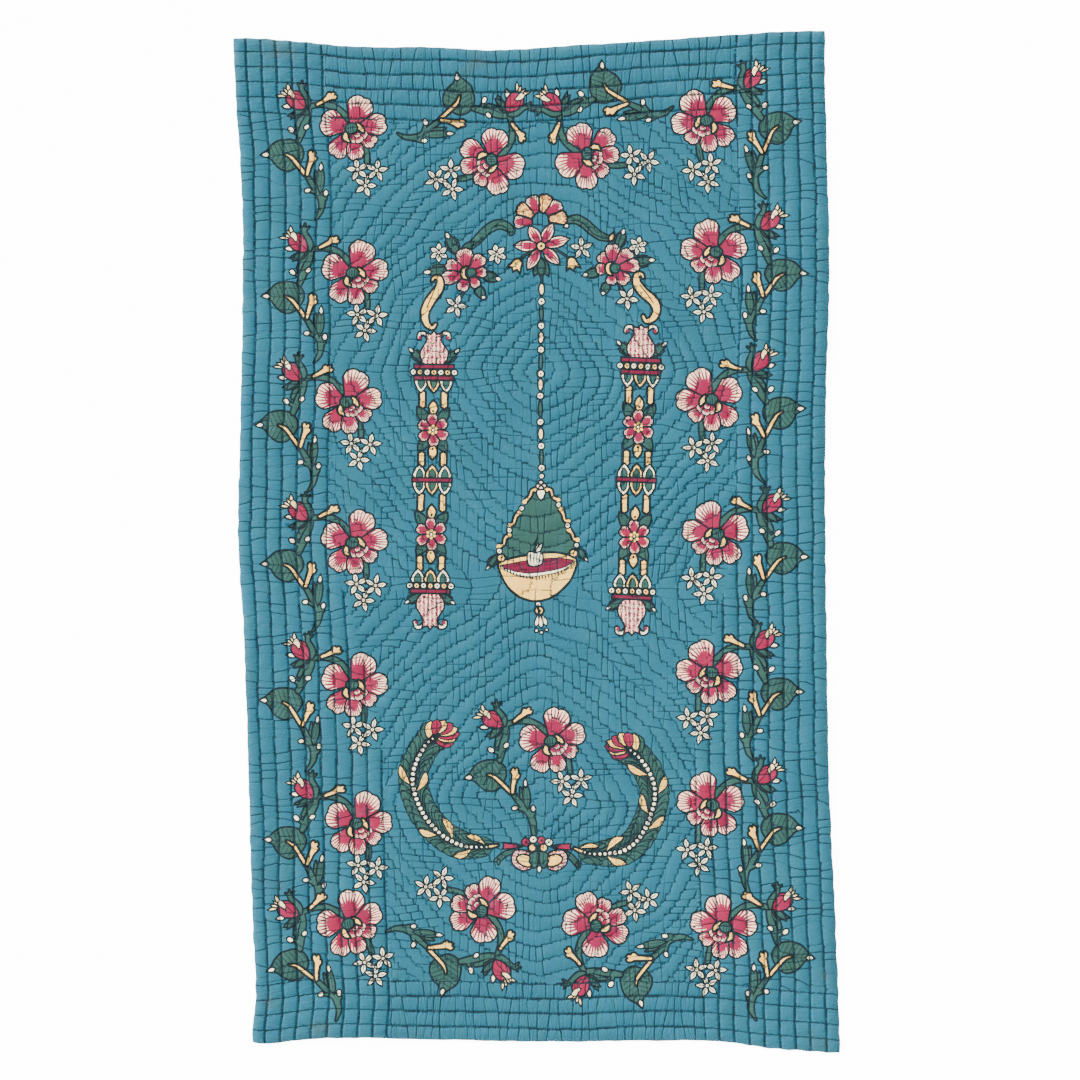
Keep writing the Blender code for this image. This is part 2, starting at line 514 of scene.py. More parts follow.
TEAL = (0.0130, 0.099, 0.148)
CRIMSON = (0.235, 0.0110, 0.046)
PINK_WHITE = (0.980, 0.680, 0.490)
WHITE = (0.950, 0.880, 0.620)
CREAM = (0.950, 0.570, 0.120)
PALE_CREAM = (0.950, 0.740, 0.380)
DARK_RED = (0.140, 0.0080, 0.030)
DEEP_CRIMSON = (0.070, 0.0060, 0.020)
GREEN = (0.0210, 0.070, 0.059)
LINE = (0.0046, 0.0105, 0.0135)
LINE_WEIGHT = 2.75
LINE_OUTSIDE = 0.66     # the share of a line's width that lies outside its shape
CREAM_LINE = 1.28       # how much wider the lines round cream shapes are

PLAIN, PETAL, LEAF, VASE, POINTED, SHELL, RIBBED, VANE = range(8)


class Place:
    """Where a block is set down on the cloth, in millimetres."""

    def __init__(self, x=0.0, y=0.0, turn=0.0, mirrored=False, size=1.0, size_y=None):
        self.x = x
        self.y = y
        self.cos = math.cos(math.radians(turn))
        self.sin = math.sin(math.radians(turn))
        self.flip = -1.0 if mirrored else 1.0
        self.size = size
        self.size_y = size if size_y is None else size_y

    def put(self, points):
        """Points of the block's own drawing, on the cloth."""
        points = np.asarray(points, dtype=float).reshape(-1, 2)
        x = points[:, 0] * self.flip * self.size
        y = points[:, 1] * self.size_y
        return np.column_stack((self.x + x * self.cos - y * self.sin,
                                self.y + x * self.sin + y * self.cos))


class BlockPrint:
    """Printed shapes in the order in which they go on, later ones on top."""

    def __init__(self):
        self.outlines = []
        self.inks = []
        self.second_inks = []
        self.strokes = []

    def shape(self, place, outline, ink, line=0.8, kind=PLAIN, second=LINE, axis=None):
        """One shape with its dark outline; axis is the start, end and half width of strokes."""
        points = turned_left(place.put(outline))
        if line:
            width = line * LINE_WEIGHT * (CREAM_LINE if ink == CREAM else 1.0)
            self.add(widened(points, width * LINE_OUTSIDE), LINE, PLAIN, LINE, None)
            points = widened(points, -width * (1 - LINE_OUTSIDE))
        drawn = None
        if axis is not None:
            start, end = place.put([axis[0], axis[1]])
            drawn = (start, end, axis[2])
        self.add(points, ink, kind, second, drawn)

    def fill(self, place, outline, ink, line=0.8):
        """The inside of a shape whose dark outline is already there."""
        points = turned_left(place.put(outline))
        points = widened(points, -line * LINE_WEIGHT * (1 - LINE_OUTSIDE))
        self.add(points, ink, PLAIN, LINE, None)

    def add(self, points, ink, kind, second, drawn):
        """One outline with its inks, and the strokes drawn inside it."""
        self.outlines.append(points)
        self.inks.append(ink)
        self.second_inks.append(second)
        self.strokes.append((kind, drawn))

    def looks(self):
        """A number for each shape, the same for plain shapes of one ink; the cloth comes first."""
        numbers = {}
        found = [0]
        for k, (ink, (kind, drawn)) in enumerate(zip(self.inks, self.strokes)):
            key = ink if kind == PLAIN else k
            found.append(numbers.setdefault(key, len(numbers) + 1))
        return np.array(found)


def turned_left(points):
    """A closed outline walked anticlockwise."""
    area = np.sum(points[:, 0] * np.roll(points[:, 1], -1)
                  - points[:, 1] * np.roll(points[:, 0], -1))
    return points[::-1] if area < 0 else points


def unit(vectors):
    """Vectors one long, or nothing where they have no length."""
    return vectors / np.maximum(np.linalg.norm(vectors, axis=1, keepdims=True), 1e-9)


def outward_ways(points, least):
    """The way out at each point of a closed outline, longer at its corners."""
    ahead = unit(np.roll(points, -1, axis=0) - points)
    way = unit(ahead + unit(points - np.roll(points, 1, axis=0)))
    bite = np.clip(np.abs(np.sum(way * ahead, axis=1, keepdims=True)), least, 1.0)
    return np.column_stack((way[:, 1], -way[:, 0])) / bite


def widened(points, by):
    """A closed outline moved outwards."""
    return points + outward_ways(points, 0.55) * by


def smooth_path(points, steps=3, closed=False):
    """A smooth line through a few points."""
    points = np.asarray(points, dtype=float)
    count = len(points)
    path = []
    last = count if closed else count - 1
    for k in range(last):
        p1 = points[k]
        p2 = points[(k + 1) % count]
        p0 = points[k - 1] if closed or k > 0 else 2 * p1 - p2
        p3 = points[(k + 2) % count] if closed or k + 2 < count else 2 * p2 - p1
        for step in range(steps):
            t = step / steps
            path.append(0.5 * (2 * p1 + (p2 - p0) * t + (2 * p0 - 5 * p1 + 4 * p2 - p3) * t * t
                               + (3 * p1 - p0 - 3 * p2 + p3) * t**3))
    if not closed:
        path.append(points[-1])
    return np.array(path)


ink = BlockPrint()
MAT = Place()           # for what is drawn where it lies on the mat


def blob(place, points, colour, line=0.8, steps=2, kind=PLAIN, second=LINE, axis=None):
    """A rounded shape through a few points."""
    ink.shape(place, smooth_path(points, steps, closed=True), colour, line, kind, second, axis)


def away_from(x, y, reach, way):
    """The point at a distance from a place, in a direction in radians."""
    return x + reach * math.cos(way), y + reach * math.sin(way)


def strip_outline(points, widths, steps=3):
    """The outline of a band of changing width along a smooth line."""
    path = smooth_path(points, steps)
    share = np.linspace(0, 1, len(path))
    width = np.interp(share, np.linspace(0, 1, len(widths)), widths) / 2
    way = np.gradient(path, axis=0)
    way /= np.linalg.norm(way, axis=1, keepdims=True)
    side = np.column_stack((-way[:, 1], way[:, 0])) * width[:, None]
    tip = path[-1] + way[-1] * width[-1] * 0.7
    foot = path[0] - way[0] * width[0] * 0.5
    return np.vstack((foot[None], path + side, tip[None], (path - side)[::-1]))


def strip(place, points, widths, colour, line=0.8, steps=3):
    """A stem, scroll or band of changing width along a smooth line."""
    ink.shape(place, strip_outline(points, widths, steps), colour, line)


def joined(place, strips):
    """Green stems that run into one another, with one outline round them all."""
    outlines = [strip_outline(points, widths, 2) for points, widths in strips]
    for outline in outlines:
        ink.shape(place, outline, LINE)
    for outline in outlines:
        ink.fill(place, outline, GREEN)


def spot(place, x, y, reach, colour, reach_y=None, turn=0.0, line=0.7, corners=10):
    """A round or oval spot."""
    reach_y = reach if reach_y is None else reach_y
    turns = np.linspace(0, math.tau, corners, endpoint=False)
    oval = np.column_stack((reach * np.cos(turns), reach_y * np.sin(turns)))
    ink.shape(place, Place(x, y, turn).put(oval), colour, line)


def dark_dot(place, x, y, reach, corners=6):
    """A small dark dot."""
    spot(place, x, y, reach, LINE, line=0, corners=corners)


def dark_line(place, points, widths, steps=2):
    """A dark line inside a shape."""
    strip(place, points, widths, LINE, line=0, steps=steps)


def bead(place, x, y, reach, colour=WHITE, eye=0.3):
    """A round bead with a dark dot in it."""
    spot(place, x, y, reach, colour)
    if eye:
        dark_dot(place, x, y, reach * eye)


def blade(place, base, tip, width, colour, bend=0.0, belly=0.45, line=0.8, kind=PLAIN,
          second=LINE, count=7, fullness=0.8):
    """A leaf or pointed petal from its base to its tip."""
    base = np.array(base, dtype=float)
    tip = np.array(tip, dtype=float)
    way = tip - base
    length = np.linalg.norm(way)
    side = np.array((-way[1], way[0])) / length
    share = np.linspace(0, 1, count)[1:-1]
    power = math.log(0.5) / math.log(belly)
    half = width / 2 * np.sin(math.pi * share**power) ** fullness
    middle = base + share[:, None] * way + side * (bend * length * share * (1 - share) * 4)[:, None]
    outline = np.vstack((base[None], middle - side * half[:, None], tip[None],
                         (middle + side * half[:, None])[::-1]))
    ink.shape(place, outline, colour, line, kind, second, (base, tip, width / 2))


def petal(place, x, y, turn, reach, spread, lobes=2, inner=0.16, line=0.8, colour=PINK_WHITE,
          kind=PETAL, count=10, notch=0.055, shoulder=0.24, blush=1.10):
    """A broad petal with a lobed end, opening from the flower's middle.

    The crimson heart reaches further towards the rim as blush grows."""
    share = np.linspace(-1, 1, 2 * count + 1)
    turns = np.radians(turn + spread * share)
    wave = np.sin if lobes % 2 == 0 else np.cos
    rim = 1 - notch * (1 - np.abs(wave(lobes * math.pi / 2 * share)) ** 0.6)
    far = reach * (1 - shoulder * np.abs(share) ** 2.4) * rim
    outer = np.column_stack((x + far * np.cos(turns), y + far * np.sin(turns)))
    middle = math.radians(turn)
    foot = [away_from(x, y, reach * portion, middle + math.radians(spread * opening))
            for portion, opening in ((0.46, 1.03), (inner, 1.22), (inner, -1.22), (0.46, -1.03))]
    start = away_from(x, y, reach * inner, middle)
    end = away_from(x, y, reach * blush, middle)
    half = reach * math.sin(math.radians(min(spread, 80)))
    ink.shape(place, np.vstack((outer, foot)), colour, line, kind, CRIMSON, (start, end, half))


def star(place, x, y, reach, points, turn, width=0.47, fullness=1.12):
    """A small white flower of pointed petals round a dark eye."""
    for k in range(points):
        way = math.radians(turn + 360 * k / points)
        base, tip = away_from(x, y, reach * 0.06, way), away_from(x, y, reach * 1.10, way)
        blade(place, base, tip, reach * width, WHITE, belly=0.50, line=0.66, count=8, kind=RIBBED,
              fullness=fullness)
    spot(place, x, y, reach * 0.17, WHITE, line=0.42, corners=6)
    dark_dot(place, x, y, reach * 0.07, 4)


# ---------------------------------------------------------------- the sprig of the border

FLOWER_PETALS = (   # turn, reach, spread, blush
    (163.0, 38.0, 35.0, 1.12), (-124.0, 40.0, 25.0, 1.26), (-82.0, 38.5, 21.5, 1.32),
    (-35.0, 35.0, 22.0, 1.30), (7.0, 43.0, 24.5, 1.14), (66.0, 41.0, 32.0, 1.08))


def white_tip(place, x, y, turn, reach):
    """A small bud with a white tip on a green stalk."""
    spot(place, x, y, reach, WHITE, reach * 0.72, turn, corners=8)


TWIG = ((0.0, -0.20), (0.30, -0.24), (0.58, -0.34), (0.70, -0.56), (0.82, -0.56), (0.87, -0.34),
        (0.97, -0.36), (1.05, -0.14), (0.98, 0.05), (1.05, 0.24), (0.97, 0.46), (0.84, 0.46),
        (0.74, 0.30), (0.45, 0.24), (0.0, 0.16))


def twig(place, base, tip, width):
    """A cream twig with three short round fingers, from its foot to its end."""
    base = np.array(base, dtype=float)
    way = np.array(tip, dtype=float) - base
    side = np.array((-way[1], way[0])) / np.linalg.norm(way) * width
    blob(place, [base + along * way + across * side for along, across in TWIG], CREAM)


def bud(place):
    """A crimson bud with cream tips and its green sepals."""
    joined(place, (([(-52.5, 27), (-50.5, 34), (-53, 41), (-57, 47), (-57.8, 54)],
                    (6, 7.0, 6.0, 5.5, 5.0)),
                   ([(-57, 50), (-61.8, 55.5)], (2.6, 1.4)), ([(-57, 50), (-51.6, 55.0)], (2.6, 1.4)),
                   ([(-57, 50), (-56.6, 58.5)], (2.6, 1.4))))
    blade(place, (-53, 27), (-75, 17.5), 9.0, GREEN, bend=0.10, kind=LEAF)
    blade(place, (-56, 25), (-71, 14), 6.5, GREEN, bend=-0.06, kind=LEAF)
    blade(place, (-66, 28.5), (-81, 29.0), 5.4, WHITE, belly=0.6)
    for x, y, width in ((-87.5, 42.0, 3.4), (-82.5, 46.5, 3.2)):
        blade(place, (-72, 41), (x, y), width, PALE_CREAM, belly=0.60, count=6, line=0.7)
    for x, y, width in ((-74.3, 56.0, 4.2), (-78.5, 50.5, 2.8)):
        blade(place, (-72, 42), (x, y), width, PALE_CREAM, belly=0.55, count=6, line=0.7)
    blob(place, [(-54, 26.5), (-54.5, 35), (-59.5, 44.5), (-67.0, 47), (-74.0, 43),
                 (-76.5, 36.5), (-71, 28.5), (-61, 24.8)], CRIMSON)
    blob(place, [(-67.5, 37.0), (-66.0, 43), (-71.0, 49.5), (-74.5, 44.5), (-71.0, 41.0)],
         PALE_CREAM, line=0.6)
    for points in ([(-55, 28), (-60.5, 33), (-64.5, 40)], [(-57, 40), (-62, 43), (-66, 44)]):
        dark_line(place, points, (1.2, 0.9))


def leaf_spray(place, foot):
    """The big leaf, its cream rib and forked twig, and the green stem below."""
    joined(place, (([(-57.5, -50), (-48, -66), (-40.5, -77)] + foot,
                    (4.6, 6.4, 7.6, 7.4, 5.0, 1.4)),
                   ([(-40, -73), (-43.5, -60), (-44.5, -49)], (5.0, 6.0, 1.2)),
                   ([(-41.5, -77), (-48, -73.5), (-53, -72)], (5.0, 4.2, 3.8)),
                   ([(-37.5, -86), (-34.2, -82), (-33.2, -78.5)], (4.8, 4.4, 3.8))))
    blade(place, (-39.8, -76), (-37.2, -41), 8.6, GREEN, kind=VANE, line=0.7)
    blade(place, (-37.9, -49.5), (-37.0, -39.5), 4.6, WHITE, belly=0.4, count=5, line=0.7)
    white_tip(place, -54.6, -72.0, 10, 3.8)
    white_tip(place, -33.0, -76.2, 80, 3.8)
    ink.shape(place, smooth_path([(-57.8, -28), (-60.5, -19), (-68, -12.4), (-78.5, -10.8),
                                  (-89, -12.4), (-96.3, -17.4), (-101.5, -23), (-108.5, -27.8),
                                  (-101.5, -30.4), (-96.3, -33.5), (-92.5, -39), (-86, -45),
                                  (-77, -48), (-68, -44.5), (-61, -36)], 2, closed=True),
              GREEN, 0.85, LEAF, LINE, ((-58, -30), (-104, -28), 19.0))
    blade(place, (-98.5, -27.6), (-108.0, -27.8), 5.4, WHITE, belly=0.36, count=5, line=0.7)
    strip(place, [(-81, -27.5), (-73, -31.5), (-66, -40), (-56, -54)], (1.8, 3.8, 4.6, 4.6), CREAM)
    twig(place, (-55.0, -54.0), (-46.5, -26.5), 10.5)


def heart_of_flower(place):
    """The green disc with cream and ruffled pieces round it."""
    for x, y, turn, reach in ((7.0, -4.0, -30, 13.5), (2.5, -5.0, -96, 13.0), (5.0, -6.0, -62, 13.0),
                              (4.0, -2.0, -66, 9.5)):
        petal(place, x, y, turn, reach, 33.0, count=4, line=0.5)
    blob(place, [(6.5, 6.5), (12, 3.5), (15, -1.5), (14.5, -6), (10.5, -3.5), (6, 0.5)], CREAM)
    blob(place, [(-7, -3), (-10.5, -9), (-8.5, -14.5), (-2, -16.5), (-4, -11), (-4.5, -7)], CREAM)
    spot(place, 0, 0, 7.4, GREEN, 6.2, 10, line=0.9, corners=12)
    for x in (-3.6, -0.6, 2.4):
        dark_line(place, [(x, 3.6), (x - 0.5, -0.6), (x - 0.2, -4.2)], (1.0, 1.0), 1)


def star_cluster(place, shift=(0.0, 0.0)):
    """Three white star flowers on a stem below the flower."""
    dx, dy = shift
    strip(place, [(16, -21), (17.5, -34), (17 + dx * 0.6, -47 + dy)], (5.0, 6.0, 5.0), GREEN)
    spot(place, 20 + dx, -58.5 + dy, 4.0, WHITE, corners=8)
    for x, y, turn in ((14.3, -68.8, 70), (6.0, -49.5, 100), (28.5, -51.0, 80)):
        star(place, x + dx, y + dy, 12.8, 5, turn)


TAPERED_FOOT = [(-38.0, -87.0), (-40.0, -98.0), (-46.0, -107.0)]
STRAIGHT_FOOT = [(-36.5, -88.0), (-36.3, -99.0), (-37.3, -110.5), (-37.8, -113.0)]


def sprig(place, star_shift=(0.0, 0.0), foot=TAPERED_FOOT):
    """One pull of the border's block."""
    leaf_spray(place, foot)
    joined(place, (([(-50, 27), (-50.5, 18), (-55, 8), (-60, -4), (-64, -14)],
                    (6, 6.5, 8.0, 8.0, 6.0)),
                   ([(-54, 22), (-61, 12), (-64.5, 4)], (5.0, 5.5, 4.5)),
                   ([(-59, -3), (-54.5, 1.5)], (4.4, 3.6)), ([(-62, -5), (-68.5, -1)], (4.4, 3.6)),
                   ([(-54.5, 25.5), (-45, 28.5), (-35, 29.5), (-22, 27.5), (-11, 20), (-2.5, 11)],
                    (4.5, 5.5, 6.0, 7.0, 7.0, 7.5))))
    white_tip(place, -53.0, 3.4, 40, 3.9)
    white_tip(place, -71.6, 0.8, -40, 4.2)
    twig(place, (-40.0, 29.5), (-18.0, 41.0), -10.0)
    bud(place)
    star_cluster(place, star_shift)
    for turn, reach, spread, blush in FLOWER_PETALS:
        petal(place, 0, 0, turn, reach, spread, blush=blush)
    heart_of_flower(place)


# x, y, turn, mirrored; the mirrored star clusters hang a little nearer the flower.
BORDER_SPRIGS = (
    (-220.8, 492.3, 2, False), (-219.1, 320.2, 0, False), (-226.7, 166.7, 0, False),
    (-219.6, -0.6, -1, False), (-219.6, -170.3, -5, False), (-214.8, -335.2, -4.5, False),
    (-224.4, -454.7, 16, False),
    (202.3, 501.9, 14, True), (213.7, 345.4, 1, True), (208.2, 169.7, 9, True),
    (215.4, 9.6, 0, True), (208.2, -155.4, 2.5, True), (209.4, -313.1, 0, True),
    (225.0, -458.9, -5, True),
    (-53.9, 454.9, -82.5, False), (60.2, 462.2, 95.5, True),
    (-65.5, -439.9, -101, True), (70.6, -457.3, 105, False))
MIRRORED_STARS = (1.5, -2.5)


# ---------------------------------------------------------------- niche: arch, columns, chain

def bunch(place, petals, crescent_side):
    """A cluster flower at a spring of the arch."""
    for turn, reach, spread in petals:
        petal(place, 0, 0, turn, reach, spread * 1.34, count=6, inner=0.2, blush=1.25)
    blob(place, [(-1, 7.5), (-7, 6), (-9.5, 0), (-7, -6.5), (-1, -8), (-4, -3), (-4, 3)], CREAM)
    spot(place, 2.0 + crescent_side, 0.0, 5.6, GREEN, corners=10)


def tipped_leaf(place, base, tip, width=13.5):
    """A dark green leaf with a white tip and two shorter points beside it."""
    base = np.array(base, dtype=float)
    tip = np.array(tip, dtype=float)
    side = np.array((base[1] - tip[1], tip[0] - base[0])) * 0.20
    for way in (1, -1):
        blade(place, base, base + (tip - base) * 0.68 + side * way, width * 0.52, GREEN, belly=0.55,
              line=0.7, count=6)
    blade(place, base, tip, width * 0.74, GREEN, belly=0.5, kind=LEAF)
    blade(place, tip + (base - tip) * 0.28, tip, width * 0.36, WHITE, belly=0.5, line=0.6, count=5)


def bell(place, x, y, turn):
    """A yellow bell with three points."""
    here = Place(x, y, turn, size=0.9)
    blob(here, [(0, 8), (5, 5), (6.5, -1), (9, -8), (3.8, -5), (0, -9.5), (-3.8, -5), (-9, -8),
                (-6.5, -1), (-5, 5)], CREAM)


def top_scrolls():
    """A green scroll on each side of the shell."""
    for points, widths, lines in (
            ([(-79, 352), (-71.4, 358.6), (-62, 368.7), (-53, 375.5), (-44.3, 378), (-35.5, 375.4),
              (-29.6, 369.5), (-31.5, 366)], (8, 9.5, 10, 10.8, 11, 9.5, 7.5, 3),
             ([(-51.6, 375.3), (-46.3, 377.3), (-40.3, 376.4), (-35.7, 372.9), (-33.7, 370)],
              [(-73, 356), (-68, 358.5), (-65.0, 363.5)])),
            ([(34, 380), (39.5, 383), (47.5, 384), (56.5, 379.5), (65.5, 371.5), (76, 364),
              (88, 360.5)], (3, 8, 10.5, 11, 10.5, 9.5, 5),
             ([(41, 382.6), (51, 382), (58.5, 376.5), (67.4, 367), (82, 361)],
              [(51, 378), (57, 372.5), (63, 367.5)]))):
        strip(MAT, points, widths, GREEN)
        for line in lines:
            dark_line(MAT, line, (1.6, 1.3))
    blade(MAT, (38, 378), (32.5, 374.5), 4.5, WHITE, count=5)
    blade(MAT, (87, 358), (92, 368), 5.5, CREAM, count=5)


def shell_and_star():
    """The niche's crown, with a bell on each side below it."""
    strip(MAT, [(-6, 345), (-16, 340), (-22, 335)], (1.8, 1.4), GREEN, line=0.6)
    strip(MAT, [(18, 350), (30, 344), (38, 338)], (1.8, 1.4), GREEN, line=0.6)
    bell(MAT, -24, 330, -28)
    bell(MAT, 42, 332, 12)
    shell = Place(4.6, 382.4)
    for k, turn in enumerate((183, 148, 112, 76, 42, 8)):
        petal(shell, 0, 0, turn, 32.0, 17.0, 3, inner=0.34, colour=WHITE if k % 2 == 0 else CREAM,
              kind=PETAL if k % 2 == 0 else SHELL, notch=0.05, shoulder=0.10, blush=1.42)
    for x, y, turn in ((-5, 326, 118), (16, 326, 62), (5.5, 320, 90)):
        way = math.radians(turn)
        blade(MAT, (5.5, 338), (5.5 - 18 * math.cos(way), 338 - 24 * math.sin(way)), 9, GREEN,
              kind=LEAF)
    flower = Place(5.2, 352.2)
    for x, y in ((-16, -28), (21.7, -21.7), (33.6, 8.6), (14, 27), (-14, 23.5), (-32.5, 0.5)):
        blade(flower, (x * 0.06, y * 0.06), (x, y), 13.0, PINK_WHITE, belly=0.52, kind=POINTED,
              second=CRIMSON, count=9)
    spot(flower, 0, 0, 5.0, CREAM, corners=12)
    dark_dot(flower, 0, 0, 1.7)


def arch_bunches():
    """A cluster flower with its leaves at each spring of the arch."""
    left = Place(-81.0, 320.3)
    for base, tip in (((-12, 20), (-27.4, 48.5)), ((-18, 3), (-54, 0.6)), ((14, -2), (38.5, -8)),
                      ((8, -14), (19.5, -32))):
        tipped_leaf(left, base, tip)
    blade(left, (-8, 26), (6, 37), 8, GREEN, kind=LEAF)
    strip(left, [(-4, -18), (-9, -28), (-13, -36)], (2.4, 1.8), GREEN)
    bunch(left, ((157, 30, 16), (104, 30, 21), (50, 27, 19), (2, 22, 17), (-58, 21, 18),
                 (-114, 24, 18), (-166, 33, 15)), 1.5)
    right = Place(91.1, 325.6)
    for base, tip in (((4, 22), (13, 47)), ((20, 6), (50, 10.5)), ((-14, -3), (-36, -8.5)),
                      ((-6, -16), (-13, -32))):
        tipped_leaf(right, base, tip)
    strip(right, [(6, -18), (12, -27), (15, -34)], (2.4, 1.8), GREEN)
    bunch(right, ((133, 24, 20), (92, 29.5, 18), (44, 30, 18), (8, 32, 15), (-45, 25, 20),
                  (-98, 20, 20), (-177, 21, 20)), 0.5)


def stars_and_side_scrolls():
    """White stars in the spandrels, and a cream scroll down each side."""
    for x, y, reach, points, turn in ((-116.6, 344.2, 10.5, 6, 90), (-47.6, 342.4, 11.0, 6, 100),
                                      (120.6, 352.5, 10.5, 6, 80)):
        star(MAT, x, y, reach, points, turn, width=0.58, fullness=0.75)
    for x, y, turn in ((-96.3, 280.8, 70), (53.5, 349.7, 95), (107.7, 290.0, 60)):
        star(MAT, x, y, 13.0, 5, turn)
    for points, line in (
            ([(-124.5, 310), (-122, 315), (-116, 313.5), (-115.2, 304.5), (-122, 293.5),
              (-129.5, 282.5), (-133.5, 271.5), (-131.3, 260.5), (-125, 255), (-119.7, 259.5)],
             [(-119, 306), (-124.5, 293), (-130.5, 279)]),
            ([(127.5, 314), (125, 319), (119.5, 317.5), (119.2, 308.3), (126.5, 297.3),
              (137.5, 288), (143, 277), (138.5, 266), (130, 263), (126.5, 269.5)],
             [(122.5, 306), (131, 296), (139, 284)])):
        strip(MAT, points, (2.6, 4, 7, 9.5, 11, 11, 9.5, 7.5, 5.5, 3.5), CREAM)
        dark_line(MAT, line, (1.7, 1.4))


def arch():
    """Scrolls, shell, star flower, bunches and bells over the niche."""
    top_scrolls()
    shell_and_star()
    arch_bunches()
    stars_and_side_scrolls()


def vase(x, y, size_y=1.0):
    """A streaked vase with curled handles, upside down where its size is negative."""
    here = Place(x, y, size_y=size_y)
    for side in (-1, 1):
        strip(here, [(side * 7, 32), (side * 11, 37.5), (side * 17, 37), (side * 17.5, 31.5)],
              (3.2, 4, 4, 5), WHITE)
        spot(here, side * 16.6, 32.6, 2.2, CRIMSON, line=0, corners=6)
    ink.shape(here, smooth_path([(-9, 0), (-15.5, 7), (-16, 16), (-11, 24), (-8.0, 31), (-9.5, 38),
                                 (-4, 36.0), (0, 40), (4, 36.0), (9.5, 38), (8.0, 31), (11, 24),
                                 (16, 16), (15.5, 7), (9, 0)], 2, closed=True),
              PINK_WHITE, 0.8, VASE, CRIMSON, ((0, 0), (0, 40), 16))


def loops(place, y, way):
    """Three pointed loops that stand on a bar, or hang from it where way is -1."""
    for x, colour in ((-15, WHITE), (0, CREAM), (15, WHITE)):
        blob(place, [(x - 6.8, y), (x - 6.6, y + way * 7), (x, y + way * 15.5), (x + 6.6, y + way * 7),
                     (x + 6.8, y)], colour)
        blob(place, [(x - 3.4, y), (x - 3.4, y + way * 6), (x, y + way * 10.5), (x + 3.4, y + way * 6),
                     (x + 3.4, y)], GREEN, line=0.5)


def crimson_bar(place, y):
    """A plain crimson bar, 47 mm wide."""
    low, high = y - 2.3, y + 2.3
    ink.shape(place, [(-23.5, low), (0, low), (23.5, low), (23.5, high), (0, high), (-23.5, high)],
              DARK_RED)


def column_flower(place, y):
    """Flower between two cream buds and four leaves."""
    for x, dy in ((-19, 27), (19, 26), (-17, -25), (17, -26)):
        blade(place, (x * 0.3, y + dy * 0.3), (x, y + dy), 12, GREEN, kind=LEAF)
    for way in (1, -1):
        blade(place, (0, y + way * 17), (0, y + way * 35), 10.5, CREAM, belly=0.5)
        dark_dot(place, 0, y + way * 22.5, 1.6)
    for k in range(6):
        petal(place, 0, y, 90 - 60 * k + 4, 19.5, 26, count=5, inner=0.25, line=0.75, blush=1.32)
    dark_dot(place, 0, y, 7.0, 10)
    for k in range(6):
        spot(place, *away_from(0, y, 4.4, math.radians(60 * k + 30)), 1.9, CREAM, line=0, corners=6)
    spot(place, 0, y, 1.5, WHITE, line=0, corners=6)


def bead_row(place, y):
    """Seven beads in a row."""
    for k in range(-3, 4):
        bead(place, 8.2 * k, y, 3.5, WHITE if k % 2 else CREAM, 0.34)


COLUMN_HEIGHT = 356.0


def column(x_top, x_foot, y_top, size_y):
    """One column from its upper vase down to its lower one."""
    lean = math.degrees(math.atan2(x_foot - x_top, COLUMN_HEIGHT * size_y))
    here = Place(x_top, y_top, lean, False, 1.0, size_y)
    for top, bottom in ((-72, -89), (-145, -159), (-194, -212), (-268, -283)):
        for x in (-13.0, 13.0):
            strip(here, [(x, top), (x, (top + bottom) / 2), (x, bottom)], (7.3, 7.0, 7.3), CREAM,
                  steps=1)
    for y in (-117, -241):
        column_flower(here, y)
    for y, way in ((-57, -1), (-174, 1), (-179, -1), (-298, 1)):
        loops(here, y, way)
    for side in (-1, 1):
        tipped_leaf(here, (side * 10, -38), (side * 30, -20), 10)
        tipped_leaf(here, (side * 10, -312), (side * 30, -324), 10)
    vase(*here.put([(0.0, -39.5)])[0])
    crimson_bar(here, -41.5)
    crimson_bar(here, -55.0)
    bead_row(here, -48.3)
    crimson_bar(here, -176.5)
    vase(*here.put([(0.0, -312.0)])[0], size_y=-1.05)
    crimson_bar(here, -309.0)
    bead_row(here, -302.5)


def chain():
    """The lamp's chain: beads with long ovals and green links between them in turn."""
    def at(y):
        return float(np.interp(y, (80, 160, 230, 318), (6.0, 4.2, 5.0, 6.0)))

    strip(MAT, [(6.0, 318), (5.0, 230), (4.2, 160), (6.0, 80)], (1.6, 1.6), GREEN, line=0.6, steps=6)
    for y in (272.0, 214.5, 158.5, 101.0):
        strip(MAT, [(at(y), y + 8), (at(y), y), (at(y), y - 8)], (2.6, 4.6, 2.6), GREEN, line=0.7)
    for y in (301.0, 243.0, 187.0, 128.5):
        spot(MAT, at(y), y, 3.0, PALE_CREAM, 7.0, line=0.75, corners=10)
    for y in (286.2, 257.5, 228.8, 200.2, 173.9, 142.8, 114.1, 88.0):
        bead(MAT, at(y), y, 4.0, WHITE, 0.32)


